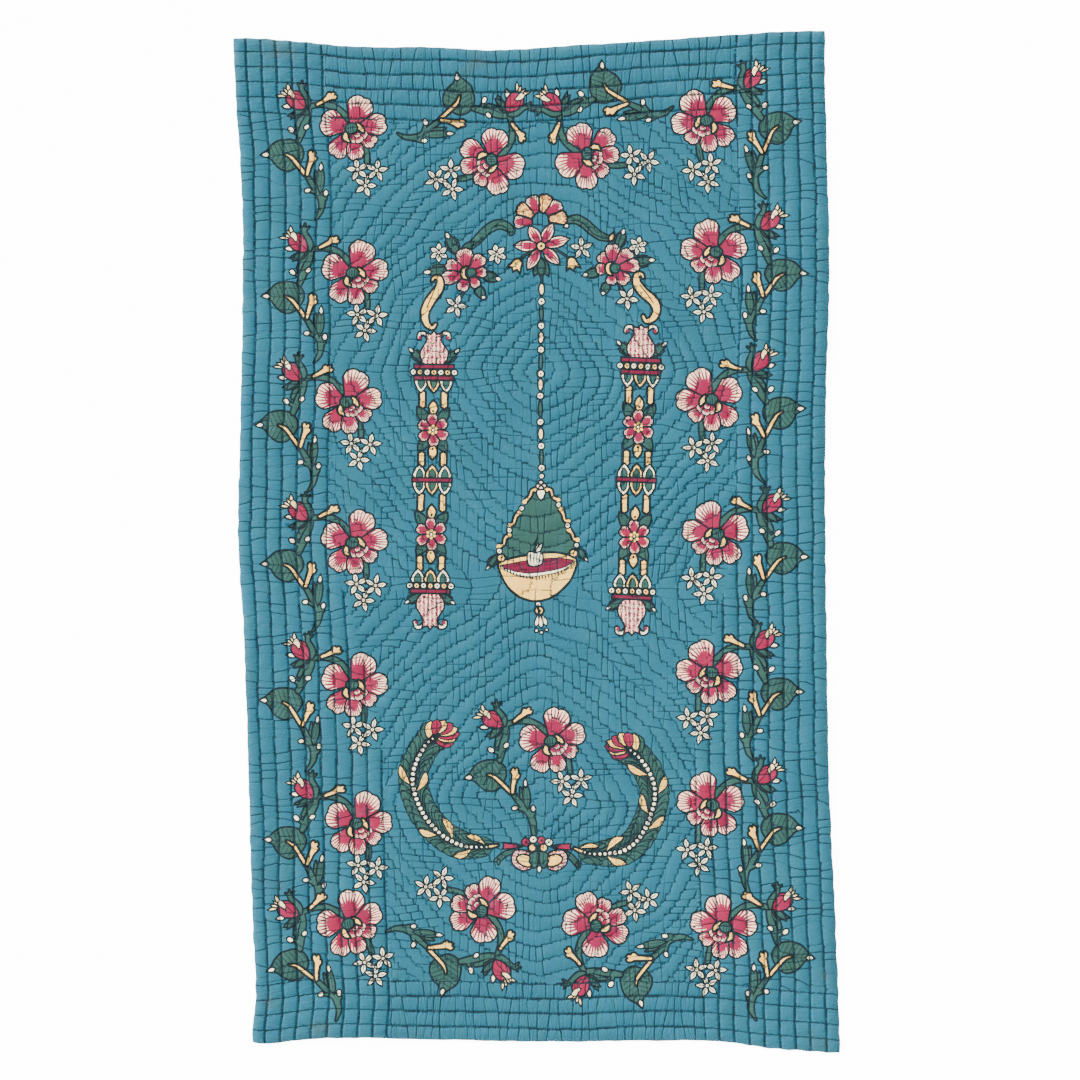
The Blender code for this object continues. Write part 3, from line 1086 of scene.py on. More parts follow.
def dome_and_bowl():
    """The lamp's green dome and its cream bowl of dark oil, with ticks along the bowl."""
    tipped_leaf(MAT, (-45, -14), (-60, -33), 8)
    tipped_leaf(MAT, (47, -6), (60.5, -23), 8)
    blob(MAT, [(-1.7, 61), (-11.6, 47.8), (-19.3, 35.2), (-29.9, 18.3), (-39.7, -1.4), (-42, -24),
                (0, -30), (45.5, -22), (44.7, 0), (36.2, 18.3), (29.2, 35.2), (22.2, 49.2),
                (12.3, 61.2), (5, 64)], GREEN)
    blob(MAT, [(-44.6, -25.3), (-42.5, -37.9), (-34.1, -53.4), (-21.4, -64.6), (-7.4, -69.6),
                (5.3, -69.6), (19.3, -64.6), (33.4, -53.4), (43.2, -39.3), (46.8, -20.5),
                (28, -13.8), (9.5, -13.2), (-8.8, -16), (-25.6, -18.8)], CREAM, line=0.85, steps=3)
    blob(MAT, [(-43.5, -29), (-26, -26.5), (-8.8, -23.5), (11, -21.5), (30, -20.5),
                (45.0, -23), (31, -34), (11, -39.2), (-8.8, -41.3), (-26, -39)], WHITE, line=0.45,
         steps=3)
    blob(MAT, [(-41.1, -29.2), (-25.6, -25), (-8.8, -22.2), (9.5, -20.2), (27.8, -19.6), (43.4, -23),
                (30.6, -30.6), (10.9, -35.0), (-8.8, -37.0), (-25.6, -35.0)], DARK_RED, line=0.45,
         steps=3)
    for x, y, reach in ((-22, -28.5, 11), (-8, -33, 12), (14, -31.5, 12), (20, -26, 14),
                        (-18, -33, 9), (2, -35.3, 9), (28, -22.5, 9), (-30, -28.8, 6), (12, -27, 8)):
        strip(MAT, [(x - reach / 2, y - 0.8), (x, y), (x + reach / 2, y + 0.4)], (1.1, 0.9),
              DEEP_CRIMSON, line=0, steps=1)
    for k in range(22):
        x = -39.0 + 3.8 * k
        y = -43.0 + 0.0078 * (x - 1.0)**2 + 0.045 * x
        dark_line(MAT, [(x, y + 1.6), (x + 0.5, y - 1.8)], (1.9, 1.3), 1)


def candle():
    """A dark wick, its white flame and the streaked cup below them."""
    dark_line(MAT, [(-2.5, -3), (0.5, 3), (1.0, 9.5)], (4.0, 3.0, 0.8), 3)
    for x, y in ((-2.5, -6), (1.0, -2), (5.5, -1.5)):
        blade(MAT, (-1.5, -17), (x + 1.0, y), 4.2, WHITE, line=0.7, count=6)
    blob(MAT, [(-10.9, -15), (-7, -11.5), (-2, -13.5), (3, -12), (6.9, -16), (6.7, -25), (0, -28.6),
                (-9.5, -27.5)], WHITE)
    for x in (-7, -3.2, 0.6, 4.0):
        dark_line(MAT, [(x, -14), (x - 0.6, -20), (x - 0.2, -25)], (1.5, 1.2), 1)


def curls_and_finial():
    """Cream curls and beads up the dome's edges, and the finial on top."""
    curls = (((-0.3, 62), (-5.3, 60.8), (-8.1, 54.2), (-14.4, 47.5)),
             ((-20.7, 34.5), (-25.0, 30.0), (-27.7, 22.0), (-32.7, 19.4)),
             ((-32.7, 7.8), (-37.6, 4.2), (-39.4, -2.8), (-45.3, -5.4)),
             ((10.9, 62.4), (16.8, 61.2), (19.3, 53.5), (25.7, 50.0)),
             ((29.2, 38.7), (32.0, 32.3), (32.9, 26.2), (37.6, 24.2)),
             ((38.3, 14.1), (42.2, 9.8), (43.9, 4.0), (48.9, 2.3)))
    for curl in curls:
        strip(MAT, curl, (5.4, 3.6, 3.6, 4.6), CREAM)
        for x, y in (curl[0], curl[-1]):
            spot(MAT, x, y, 2.6, CREAM, line=0, corners=8)
    for x, y in ((-17.9, 39.8), (-32.9, 13.8), (-44.6, -11.0), (25.7, 44.0), (36.9, 19.4),
                 (47.5, -4.0)):
        bead(MAT, x, y, 3.1, WHITE, 0.3)
    for x, y in ((-42.4, -19.2), (43.9, -13.6)):
        bead(MAT, x, y, 4.5, CREAM, 0.3)
    for x, y in ((1.6, 66.2), (8.8, 66.8), (5.2, 70.8), (5.2, 64.0)):
        spot(MAT, x, y, 2.5, PINK_WHITE, line=0.8, corners=8)
    bead(MAT, 6.0, 78.3, 3.0, WHITE, 0.3)
    blob(MAT, [(5, 62), (0.5, 61), (0.5, 56), (5, 49.5), (9.5, 56), (9.5, 61)], WHITE)


def pendant():
    """The white drops that hang from the bowl."""
    bead(MAT, 2.0, -74.2, 3.0, WHITE, 0.36)
    for points in ([(1.8, -86), (-0.4, -82), (2.2, -78.5)], [(3.4, -86), (6.4, -82), (3.4, -78.5)]):
        strip(MAT, points, (3.2, 4.0), CREAM, steps=2)
    for base, x, y in ((1.2, -0.6, -100.5), (6.8, 11.6, -99.5), (4.0, 5.4, -102.5)):
        blade(MAT, (base, -86.5), (x, y), 5.0, WHITE, belly=0.65, line=0.55)
        bead(MAT, x + 0.3, y - 5.2, 1.9, WHITE, 0)


def lamp():
    """The hanging lamp, drawn from the dome to the pendant."""
    for part in (dome_and_bowl, candle, curls_and_finial, pendant):
        part()


# ---------------------------------------------------------------- garland and bow

LEFT_PEARLS = ((-43.9, -360.5), (-57.4, -363.1), (-72.3, -363.4), (-87.2, -362.0), (-100.7, -356.7),
               (-112.6, -349.2), (-123.1, -339.5), (-135.0, -323.8), (-143.7, -304.4),
               (-147.4, -288.0), (-147.0, -273.8), (-141.8, -258.1), (-132.1, -241.7),
               (-119.4, -230.5))
RIGHT_PEARLS = ((42.1, -363.9), (57.7, -369.9), (72.0, -371.6), (86.3, -371.0), (104.3, -367.5),
                (121.0, -354.3), (132.9, -332.8), (140.1, -310.1), (140.1, -292.2),
                (134.1, -274.3), (122.2, -257.5), (109.0, -245.6))


# Along each arm, in millimetres from its start.
FIRST_VANE = 12.0
VANE_STEP = 8.4
FIRST_PEARL = 16.0
PEARL_STEP = 6.1
# Lobes at the tip of the left arm: base, tip, width, ink.
TIP_LOBES = (((-14.0, -6.0), (-13.0, 15.0), 9.5, GREEN), ((-1.0, -7.0), (20.5, -9.5), 10.0, CRIMSON),
             ((1.0, -4.0), (24.5, -3.5), 8.0, CREAM), ((2.0, -1.5), (28.0, 2.5), 9.5, CRIMSON),
             ((3.0, 0.0), (25.5, 8.5), 8.0, CREAM), ((-9.6, -3.6), (-6.6, 17.5), 9.0, CREAM),
             ((3.0, 1.5), (19.5, 14.0), 9.5, CRIMSON), ((1.0, 2.0), (10.5, 18.0), 9.5, CREAM),
             ((-2.5, 0.5), (1.5, 19.0), 9.5, CRIMSON))
TIP_GROUND = ((-14, -6), (-11, 13), (0, 17), (12, 16), (21, 11), (26, 3), (22, -8), (8, -11), (-5, -9))


def garland_arm(pearls, hand, cream_outer, cream_inner):
    """One arm: overlapping leaves on both sides of a line of pearls, and a crimson tip.

    The hand is -1 for the left arm and 1 for the right one.
    """
    path = smooth_path(pearls, 8)
    run = np.concatenate(([0.0], np.cumsum(np.hypot(*np.diff(path, axis=0).T))))

    def at(distance):
        point, ahead = (np.array([np.interp(along, run, path[:, k]) for k in (0, 1)])
                        for along in (distance, distance + 3))
        if distance + 3 >= run[-1]:
            ahead = path[-1] + (path[-1] - path[-2]) * 4
        return point, (ahead - point) / np.linalg.norm(ahead - point)

    count = int((run[-1] - 4.0 - FIRST_VANE) / VANE_STEP)
    for colour in (GREEN, CREAM):
        for k in range(count, -1, -1):
            distance = FIRST_VANE + VANE_STEP * k
            point, way = at(distance)
            outer = np.array((way[1], -way[0])) * hand
            swell = min(1.0, 0.50 + distance / 80.0)
            for sign, reach, creams in ((1, 13.0, cream_outer), (-1, 16.5, cream_inner)):
                uneven = rough(k * 2.0 + sign, hand)
                base = point - way * (8.0 - 4.0 * uneven) + outer * sign * 0.6
                tip = point + way * (17.0 + 4.0 * uneven) + outer * sign * reach * swell
                width = 11.5 * swell
                if colour is CREAM:
                    base = point - way * 3.0 + outer * sign * 2.6
                    tip = point + way * (16.0 + 5.0 * uneven) + outer * sign * reach * swell * 1.10
                    width = 8.6 * swell
                if colour is GREEN or k in creams:
                    blade(MAT, base, tip, width, colour, bend=-0.10 * sign * hand, belly=0.60,
                          kind=VANE, line=0.46, count=7)
    end = np.array(pearls[-1])
    blob(MAT, [(end[0] - hand * x, end[1] + y) for x, y in TIP_GROUND], LINE, line=0)
    for base, tip, width, colour in TIP_LOBES:
        blade(MAT, end + (-hand * base[0], base[1]), end + (-hand * tip[0], tip[1]), width * 1.2,
              colour, belly=0.58, kind=VANE, line=0.55, fullness=0.50)
    number = int((run[-1] - FIRST_PEARL - 1.0) / PEARL_STEP)
    strip(MAT, [at(2)[0], at(9)[0], at(15)[0]], (2.0, 4.0, 3.5), CREAM)
    for k in range(number + 1):
        point, _ = at(FIRST_PEARL + PEARL_STEP * k)
        size = 3.1 * min(1.0, 0.55 + k / 12.0, 0.55 + (number - k) / 8.0)
        spot(MAT, point[0], point[1], size, WHITE, line=0.8, corners=8)


def bow():
    """The knot between the garland's arms."""
    for points in ([(-27, -368), (-38, -372), (-47, -379.5)], [(31, -368), (42, -376), (50, -386)]):
        strip(MAT, points, (4.5, 6.0, 5.5), GREEN)
        dark_line(MAT, points, (0.8, 0.7), 3)
    for x, y in ((-51.0, -380.5), (-45.5, -384.5), (53.0, -382.5), (49.5, -390.0)):
        start = (-45, -378) if x < 0 else (47, -382)
        blade(MAT, start, (x, y), 3.4, GREEN, line=0.6, count=5)
    for side, far, drop in ((-1, -40.0, -362.0), (1, 40.5, -363.0)):
        blade(MAT, (side * 14, -362.5), (far * 0.72, drop - 0.6), 6.5, LINE, line=0, belly=0.6)
        ink.shape(MAT, [(far * 0.60, drop + 2.4), (far * 0.60, drop - 2.4), (far * 0.8, drop - 3.0),
                         (far, drop - 3.4), (far * 0.965, drop), (far, drop + 3.4),
                         (far * 0.8, drop + 3.0)], CRIMSON, 0.7)
    for x, hand in ((-18.0, 1), (24.6, -1)):
        here = Place(x, -378.2, -14 * hand, hand < 0)
        blob(here, [(-12.5, 1), (-9.5, 8.5), (-1, 11), (8, 10), (14, 5), (14.5, -5), (9, -11),
                    (0, -12), (-8.5, -8)], PINK_WHITE, kind=VASE, second=CRIMSON,
             axis=((-12, 0), (15, 0), 12.0))
        blob(here, [(-6.0, 0.5), (-2.0, 5.5), (5.0, 6.5), (12, 4.5), (12, -5.5), (4, -6.5),
                    (-2.5, -4.5)], CREAM, line=0.7)
    for side, x in ((-1, -4.0), (1, 9.0)):
        blob(MAT, [(x - side * 5.4, -368.5), (x, -369.5), (x + side * 4.4, -372.5),
                    (x + side * 3.2, -376.5), (x + side * 5.0, -380.5), (x + side * 2.0, -384.0),
                    (x, -388.0), (x - side * 4.2, -385.5), (x - side * 5.8, -377)], GREEN,
             kind=VANE, axis=((x, -368), (x, -388), 6.0))
    blade(MAT, (3.0, -385.5), (3.2, -394), 4.8, WHITE, line=0.7, count=5)
    dark_line(MAT, [(2.5, -368), (2.8, -378), (3.0, -387)], (2.4, 1.4), 3)
    spot(MAT, -5.4, -364.2, 4.6, CREAM, corners=10)
    spot(MAT, 8.4, -364.2, 4.4, CREAM, corners=10)
    blob(MAT, [(0.0, -360.0), (3.6, -361.5), (4.6, -365.5), (2.2, -369.2), (-1.4, -367.5),
                (-2.0, -363.0)], LINE, line=0)
    for x, y in ((-13.1, -357.5), (5.3, -355.4)):
        spot(MAT, x, y, 4.8, CRIMSON, corners=10)
        dark_dot(MAT, x, y, 1.5)
    for x, y in ((-4.0, -354.3), (14.5, -357.5)):
        bead(MAT, x, y, 4.4, WHITE, 0.32)


def draw_print():
    """The whole print, in the order in which its blocks go on."""
    for x, y, turn, mirrored in BORDER_SPRIGS:
        sprig(Place(x, y, turn, mirrored), MIRRORED_STARS if mirrored else (0.0, 0.0))
    sprig(Place(16.6, -237.2, 9), foot=STRAIGHT_FOOT)
    arch()
    column(-121.6, -127.6, 250.1, 1.0)
    column(125.8, 111.4, 259.9, 1.055)
    chain()
    lamp()
    garland_arm(LEFT_PEARLS, -1, (3, 8, 16), (1, 6, 15))
    garland_arm(RIGHT_PEARLS, 1, (4, 11, 16), (0, 4, 13, 19))
    bow()


# ---------------------------------------------------------------- the quilted cloth

POINTS_APART = 0.0021
SAME_POINT = 1e-7       # points closer than this are one
NO_AREA = 1e-13
EDGE_SPACING = 0.0052
OUTLINE_SLACK = 0.12    # how far simplified outlines may stray, in millimetres
WOBBLE = 0.22           # how far a hand block's outlines waver, in millimetres
WOBBLE_SIZE = 0.012
SCALLOP = 0.00045       # how far the edge is drawn in and out by its rows
SCALLOP_SIZE = 0.022
# Rings of the rolled edge, from face to back: shares of its roll, and heights.
EDGE_RINGS = ((0.72, 0.0039), (1.0, 0.0025), (0.78, 0.0010), (0.1, 0.0001))
FACE, BACK_HALF, BACK = 0, 3, 5     # bands of triangles: the face, the rolled edge's, the back
BACK_RISE = 0.0011      # how far the back's rows are drawn up
BACK_SLOPE = 0.008
EDGE_DARKENING_FADE = 0.004       # how fast the darkening at the edge fades inwards
MAP_WIDTH = 0.736       # metres of cloth across and along the map
MAP_LENGTH = 1.232
FACE_SHARE = 0.86       # of the map's width; the back is squeezed beside it
BACK_START = 0.87
BACK_SHARE = 0.13
CROSSED = np.array((0.2, 0.5, 1.0, 0.0))    # how clearly creases show, by region


def simplified(points, tolerance):
    """A closed outline without the points that lie on its nearly straight stretches."""
    kept = [tuple(point) for point in points]
    while len(kept) > 4:
        off = []
        for k, (x, y) in enumerate(kept):
            ax, ay = kept[k - 1]
            bx, by = kept[(k + 1) % len(kept)]
            span = max(math.hypot(bx - ax, by - ay), 1e-9)
            off.append(abs((bx - ax) * (y - ay) - (by - ay) * (x - ax)) / span)
        least = min(range(len(off)), key=off.__getitem__)
        if off[least] > tolerance:
            break
        del kept[least]
    return np.array(kept)


def hand_wobble(points):
    """The slight unevenness of a hand block."""
    x, y = points[:, 0] * MM, points[:, 1] * MM
    return points + np.column_stack([WOBBLE * wander(x, y, WOBBLE_SIZE, seed=seed)
                                     for seed in (20, 21)])


def edge_loop(inset):
    """The mat's outline, moved in, walked anticlockwise from the foot's left corner."""
    whole = np.vstack([even_points(side, EDGE_SPACING)[:-1]
                       for side in (FOOT, RIGHT, HEAD[::-1], LEFT[::-1])])
    return whole - outward_ways(whole, 0.5) * inset


def cell(point, size):
    """The square of a grid that a point lies nearest to."""
    return round(point[0] / size), round(point[1] / size)


def relief_points(spacing, offsets, apart, margin):
    """Points that carry the quilting's shape, rows first, none close to another."""
    kept = []
    taken = set()
    for share in offsets:
        for line in all_lines(share):
            for point in even_points(line, spacing):
                if cell(point, apart) not in taken:
                    taken.add(cell(point, apart))
                    kept.append(point)
    return [point for point in kept if inside_mat(*point, margin)]


def anticlockwise(flat, corners):
    """Triangles turned the same way round, and which of them have any width."""
    p, q, r = (flat[corners[:, k]] for k in range(3))
    turn = (q[:, 0] - p[:, 0]) * (r[:, 1] - p[:, 1]) - (q[:, 1] - p[:, 1]) * (r[:, 0] - p[:, 0])
    backward = turn < 0
    corners[backward] = corners[backward][:, ::-1]
    return corners, np.abs(turn) > NO_AREA


def print_regions(outlines):
    """Triangles that follow every outline, and which shape is on top in each."""
    coords = []
    faces = []
    for outline in outlines:
        first = len(coords)
        coords += [Vector(p) for p in outline]
        faces.append(list(range(first, first + len(outline))))
    low = [tuple(outline.min(axis=0)) for outline in outlines]
    high = [tuple(outline.max(axis=0)) for outline in outlines]
    out, _, triangles, _, _, owners = delaunay_2d_cdt(coords, [], faces, 0, SAME_POINT)
    kept = [k for k, owner in enumerate(owners) if 0 in owner]
    flat = np.array([tuple(v) for v in out])
    corners, real = anticlockwise(flat, np.array([triangles[k] for k in kept]))
    top = []
    for k, (x, y) in zip(kept, flat[corners].mean(axis=1).tolist()):
        top.append(max(owner for owner in owners[k]
                       if low[owner][0] <= x <= high[owner][0] and low[owner][1] <= y <= high[owner][1]))
    return flat, corners[real], np.array(top)[real]


def seen_edges(corners, look, count):
    """Edges where two sides look different, and the edges of the whole sheet."""
    pairs = np.vstack((corners[:, [0, 1]], corners[:, [1, 2]], corners[:, [2, 0]]))
    key = pairs.min(axis=1) * count + pairs.max(axis=1)
    order = np.argsort(key, kind="stable")
    key = key[order]
    label = np.tile(look, 3)[order]
    same = key[1:] == key[:-1]
    single = ~(np.append(same, False) | np.append(False, same))
    differing = np.append(same & (label[1:] != label[:-1]), False)
    chosen = key[single | differing]
    return np.column_stack((chosen // count, chosen % count))


def triangulate(points, outlines, look):
    """Triangles over the points that follow the edges of what is seen of the shapes."""
    first_flat, first_corners, first_top = print_regions(outlines)
    edges = seen_edges(first_corners, look[first_top], len(first_flat))
    used, numbers = np.unique(edges, return_inverse=True)
    coords = [Vector(p) for p in first_flat[used]]
    taken = {cell(p, POINTS_APART) for p in first_flat[used]}
    coords += [Vector(p) for p in points if cell(p, POINTS_APART) not in taken]
    out, _, triangles, _, _, _ = delaunay_2d_cdt(coords, numbers.reshape(-1, 2).tolist(), [], 0,
                                                 SAME_POINT)
    flat = np.array([tuple(v) for v in out])
    corners, real = anticlockwise(flat, np.array(triangles))
    corners = corners[real]
    finder = BVHTree.FromPolygons([(x, y, 0.0) for x, y in first_flat.tolist()],
                                  first_corners.tolist())
    down = Vector((0.0, 0.0, -1.0))
    hits = [finder.ray_cast(Vector((x, y, 1.0)), down)[2]
            for x, y in flat[corners].mean(axis=1).tolist()]
    inside = np.array([hit is not None for hit in hits])
    top = first_top[np.array([0 if hit is None else hit for hit in hits])]
    return flat, corners[inside], top[inside]


def rim_of(corners):
    """The closed loop of vertices round a sheet of triangles."""
    edges = {edge: True for a, b, c in corners.tolist() for edge in ((a, b), (b, c), (c, a))}
    after = {one: other for one, other in edges if (other, one) not in edges}
    start = next(iter(after))
    loop = [start]
    while after[loop[-1]] != start:
        loop.append(after[loop[-1]])
    return loop


def edge_rings(rim):
    """Rings of points round the rolled edge, a little scalloped."""
    way = unit(np.roll(rim, -1, axis=0) - np.roll(rim, 1, axis=0))
    outward = np.column_stack((way[:, 1], -way[:, 0]))
    scallop = SCALLOP * wander(rim[:, 0], rim[:, 1], SCALLOP_SIZE, seed=12)
    return [np.column_stack((rim + outward * (EDGE_ROLL * share + scallop * share)[:, None],
                             np.full(len(rim), height))) for share, height in EDGE_RINGS]


def back_height(x, y):
    """The plain back rests on its puffs and is drawn up at the rows."""
    rows = rows_and_creases(x, y, region_of(x, y), x, y)[0]
    inside = np.clip((np.minimum.reduce(depths(x, y)) - EDGE_ROLL) / BACK_SLOPE, 0.0, 1.0)
    return BACK_RISE * (1 - puff(rows)) * inside


def band(one, other):
    """Triangles between two closed loops of vertices."""
    one_next, other_next = np.roll(one, -1), np.roll(other, -1)
    return np.vstack((np.column_stack((one, other, one_next)),
                      np.column_stack((one_next, other, other_next))))


def quilt_piece():
    """The padded mat as one closed mesh: its vertices, triangles, bands and the face's shapes."""
    outlines = [hand_wobble(simplified(outline, OUTLINE_SLACK)) * MM for outline in ink.outlines]
    points = relief_points(0.0050, (0.0, 0.5, 0.18, -0.18), POINTS_APART, 0.0035)
    flat, corners, top = triangulate(points, [edge_loop(EDGE_ROLL)] + outlines, ink.looks())
    used, numbers = np.unique(corners, return_inverse=True)
    flat = flat[used]
    corners = numbers.reshape(-1, 3)
    rim = rim_of(corners)
    rings = edge_rings(flat[rim])

    points = relief_points(0.013, (0.0, 0.5), 0.005, 0.006)
    back, back_corners, _ = triangulate(points, [rings[-1][:, :2]], np.zeros(1))
    back_rim = rim_of(back_corners)
    start = min(range(len(back_rim)),
                key=lambda k: np.hypot(*(back[back_rim[k]] - rings[-1][0, :2])))

    vertices = [np.column_stack((flat, face_height(*flat.T)))] + rings[:-1]
    loops_round = [np.array(rim)]
    first = len(flat)
    for ring in rings[:-1]:
        loops_round.append(first + np.arange(len(ring)))
        first += len(ring)
    vertices.append(np.column_stack((back, back_height(*back.T))))
    loops_round.append(first + np.array(back_rim[start:] + back_rim[:start]))
    faces = [corners] + [band(one, other) for one, other in zip(loops_round, loops_round[1:])]
    faces.append(first + back_corners[:, ::-1])
    bands = np.repeat(np.arange(len(faces)), [len(some) for some in faces])
    return np.vstack(vertices), np.vstack(faces), bands, top


def colour_attribute(mesh, name, corner_colours):
    """A colour for each corner of the mesh."""
    layer = mesh.attributes.new(name, "FLOAT_COLOR", "CORNER")
    values = np.ones((len(corner_colours), 4))
    values[:, :3] = corner_colours
    layer.data.foreach_set("color", values.ravel())


def vector_attribute(mesh, name, *columns):
    """Three numbers for each corner of the mesh."""
    layer = mesh.attributes.new(name, "FLOAT_VECTOR", "CORNER")
    layer.data.foreach_set("vector", np.column_stack(columns).ravel())


SOILED = ((-310, 587, 22), (-74, 565, 14), (-352, 330, 12), (-313, -177, 12), (-314, -411, 10),
          (-316, -550, 10), (-309, -590, 10), (-257, -580, 13), (340, -595, 14), (342, -520, 10))


def soil_at(x, y):
    """Old stains, strongest at the head's left corner."""
    total = np.zeros_like(x)
    for cx, cy, reach in SOILED:
        away = np.hypot(x - cx * MM, y - cy * MM) / (reach * MM)
        total += np.exp(-away * away)
    return np.clip(total, 0.0, 1.0)


def stroke_values(x, y, shape):
    """How far along and across its shape's strokes each corner lies, and the strokes' kind."""
    values = np.zeros((len(x), 3))
    order = np.argsort(shape, kind="stable")
    bounds = np.searchsorted(shape[order], np.arange(len(ink.inks) + 2))
    for k, (kind, drawn) in enumerate(ink.strokes, start=1):
        if drawn is None or kind == PLAIN:
            continue
        start, end, half = drawn
        way = end - start
        length = np.linalg.norm(way)
        rows = order[bounds[k]:bounds[k + 1]]
        dx = x[rows] / MM - start[0]
        dy = y[rows] / MM - start[1]
        values[rows, 0] = (dx * way[0] + dy * way[1]) / length**2
        values[rows, 1] = (dy * way[0] - dx * way[1]) / (length * half)
        values[rows, 2] = kind
    return values


def unwrap(mesh, x, y, z, bands):
    """The mat's flat map, with the rolled edge spread a little outwards."""
    front = bands < BACK_HALF
    fall = np.where(front, np.clip(EDGE_TOP - z, 0, None), np.clip(z, 0, 0.004))
    fall = fall * ((bands > FACE) & (bands < BACK))
    stretch = 1 + fall * 0.8 / np.maximum(np.maximum(np.abs(x), np.abs(y)), 0.05)
    u = x * stretch / MAP_WIDTH + 0.5
    v = y * stretch / MAP_LENGTH + 0.5
    u = np.where(front, u * FACE_SHARE, BACK_START + (1 - u) * BACK_SHARE)
    layer = mesh.uv_layers.new(name="OFBake")
    layer.data.foreach_set("uv", np.column_stack((u, v)).ravel())


def make_quilt():
    """The quilt, with its print, quilting, stains and nearness to the edge as attributes for its cloth.
    """
    vertices, faces, bands, top = quilt_piece()
    mesh = bpy.data.meshes.new("printed_quilt")
    mesh.from_pydata(vertices.tolist(), [], faces.tolist())
    mesh.update()
    x, y, z = vertices[faces.ravel()].T
    shape = np.zeros(len(faces), dtype=int)
    shape[bands == FACE] = top
    shape = np.repeat(shape, 3)
    bands = np.repeat(bands, 3)
    colour_attribute(mesh, "ink", np.array([TEAL] + ink.inks)[shape])
    colour_attribute(mesh, "stroke_ink", np.array([TEAL] + ink.second_inks)[shape])
    vector_attribute(mesh, "stroke", stroke_values(x, y, shape))

    middle = vertices[faces].mean(axis=1)[:, :2]
    region = np.repeat(region_of(*middle.T), 3)
    middle = np.repeat(middle, 3, axis=0).T
    rows, first, second, step, slanted = rows_and_creases(x, y, region, *middle)
    vector_attribute(mesh, "quilting", rows, first, second)
    vector_attribute(mesh, "row_step", step, slanted, CROSSED[region])
    vector_attribute(mesh, "spacing", *local_spacings(x, y, region, *middle))
    near_edge = np.exp(-np.minimum.reduce(depths(x, y)) / EDGE_DARKENING_FADE)
    vector_attribute(mesh, "soil_and_edge", soil_at(x, y), near_edge, np.where(bands < BACK_HALF, 0.0, 1.0))
    unwrap(mesh, x, y, z, bands)

    mesh.shade_smooth()
    quilt = bpy.data.objects.new("printed_quilt", mesh)
    bpy.context.scene.collection.objects.link(quilt)
    return quilt


# ---------------------------------------------------------------- shader helpers

class Value:
    """A number that varies over a surface, with ordinary arithmetic."""

    def __init__(self, wires, socket):
        self.wires = wires
        self.socket = socket

    def by(self, operation, *others):
        return self.wires.math(operation, self, *others)

    def __add__(self, other):
        return self.by("ADD", other)

    def __sub__(self, other):
        return self.by("SUBTRACT", other)

    def __rsub__(self, other):
        return self.wires.math("SUBTRACT", other, self)

    def __mul__(self, other):
        return self.by("MULTIPLY", other)

    def __abs__(self):
        return self.by("ABSOLUTE")

    def times_plus(self, factor, extra):
        return self.by("MULTIPLY_ADD", factor, extra)

    def larger(self, other):
        return self.by("MAXIMUM", other)

    def folded(self):
        """Up and down between 0 and a half as the value grows by one."""
        return self.by("PINGPONG", 0.5)

    def ramp(self, start, end, low=0.0, high=1.0):
        """A smooth change from low, at start, to high, at end."""
        made = self.wires.node("ShaderNodeMapRange", interpolation_type="SMOOTHSTEP")
        for socket, item in zip(made.inputs, (self, start, end, low, high)):
            self.wires.feed(socket, item)
        return Value(self.wires, made.outputs[0])


class Wires:
    """Short ways to add nodes to a tree."""

    def __init__(self, tree):
        self.tree = tree

    def node(self, kind, inputs=(), **settings):
        """A node with its settings, and values or links for its inputs."""
        made = self.tree.nodes.new(kind)
        for key, value in settings.items():
            setattr(made, key, value)
        for key, value in dict(inputs).items():
            self.feed(made.inputs[key], value)
        return made

    def feed(self, socket, value):
        if isinstance(value, Value):
            value = value.socket
        if isinstance(value, bpy.types.NodeSocket):
            self.tree.links.new(value, socket)
        else:
            socket.default_value = value

    def math(self, operation, *values):
        made = self.node("ShaderNodeMath", enumerate(values), operation=operation)
        return Value(self, made.outputs[0])

    def vector_math(self, operation, inputs):
        return self.node("ShaderNodeVectorMath", inputs, operation=operation).outputs[0]

    def mix(self, share, first, second):
        """The second colour over the first by a share."""
        return self.node("ShaderNodeMix", {0: share, 6: first, 7: second}, data_type="RGBA").outputs[2]

    def noise(self, vector, scale, detail=2.0, rough=0.5, stretch=None):
        if stretch is not None:
            vector = self.node("ShaderNodeMapping", {"Vector": vector, "Scale": stretch}).outputs[0]
        made = self.node("ShaderNodeTexNoise", {"Vector": vector, "Scale": scale, "Detail": detail,
                                                "Roughness": rough})
        return Value(self, made.outputs["Fac"])

    def white_noise(self, first, second):
        """A fixed random value, and a colour, for each pair of whole numbers."""
        pair = self.node("ShaderNodeCombineXYZ", {0: first, 1: second})
        made = self.node("ShaderNodeTexWhiteNoise", {"Vector": pair.outputs[0]}, noise_dimensions="2D")
        return Value(self, made.outputs["Value"]), made.outputs["Color"]

    def bump(self, height, strength, distance, under=None):
        """A normal with a height on it, over another normal where there is one."""
        made = self.node("ShaderNodeBump", {"Strength": strength, "Distance": distance,
                                            "Height": height})
        if under is not None:
            self.feed(made.inputs["Normal"], under)
        return made.outputs[0]

    def parts(self, vector):
        outputs = self.node("ShaderNodeSeparateXYZ", {0: vector}).outputs
        return [Value(self, output) for output in outputs]

    def attribute(self, name, output="Vector"):
        return self.node("ShaderNodeAttribute", attribute_name=name).outputs[output]

    def object_position(self):
        return self.node("ShaderNodeTexCoord").outputs["Object"]

    def placed(self, tree, **values):
        """The outputs of a group whose named inputs are fed."""
        made = self.node("ShaderNodeGroup", node_tree=tree)
        for label, value in values.items():
            self.feed(made.inputs[label.replace("_", " ")], value)
        return {output.name: Value(self, output) for output in made.outputs}


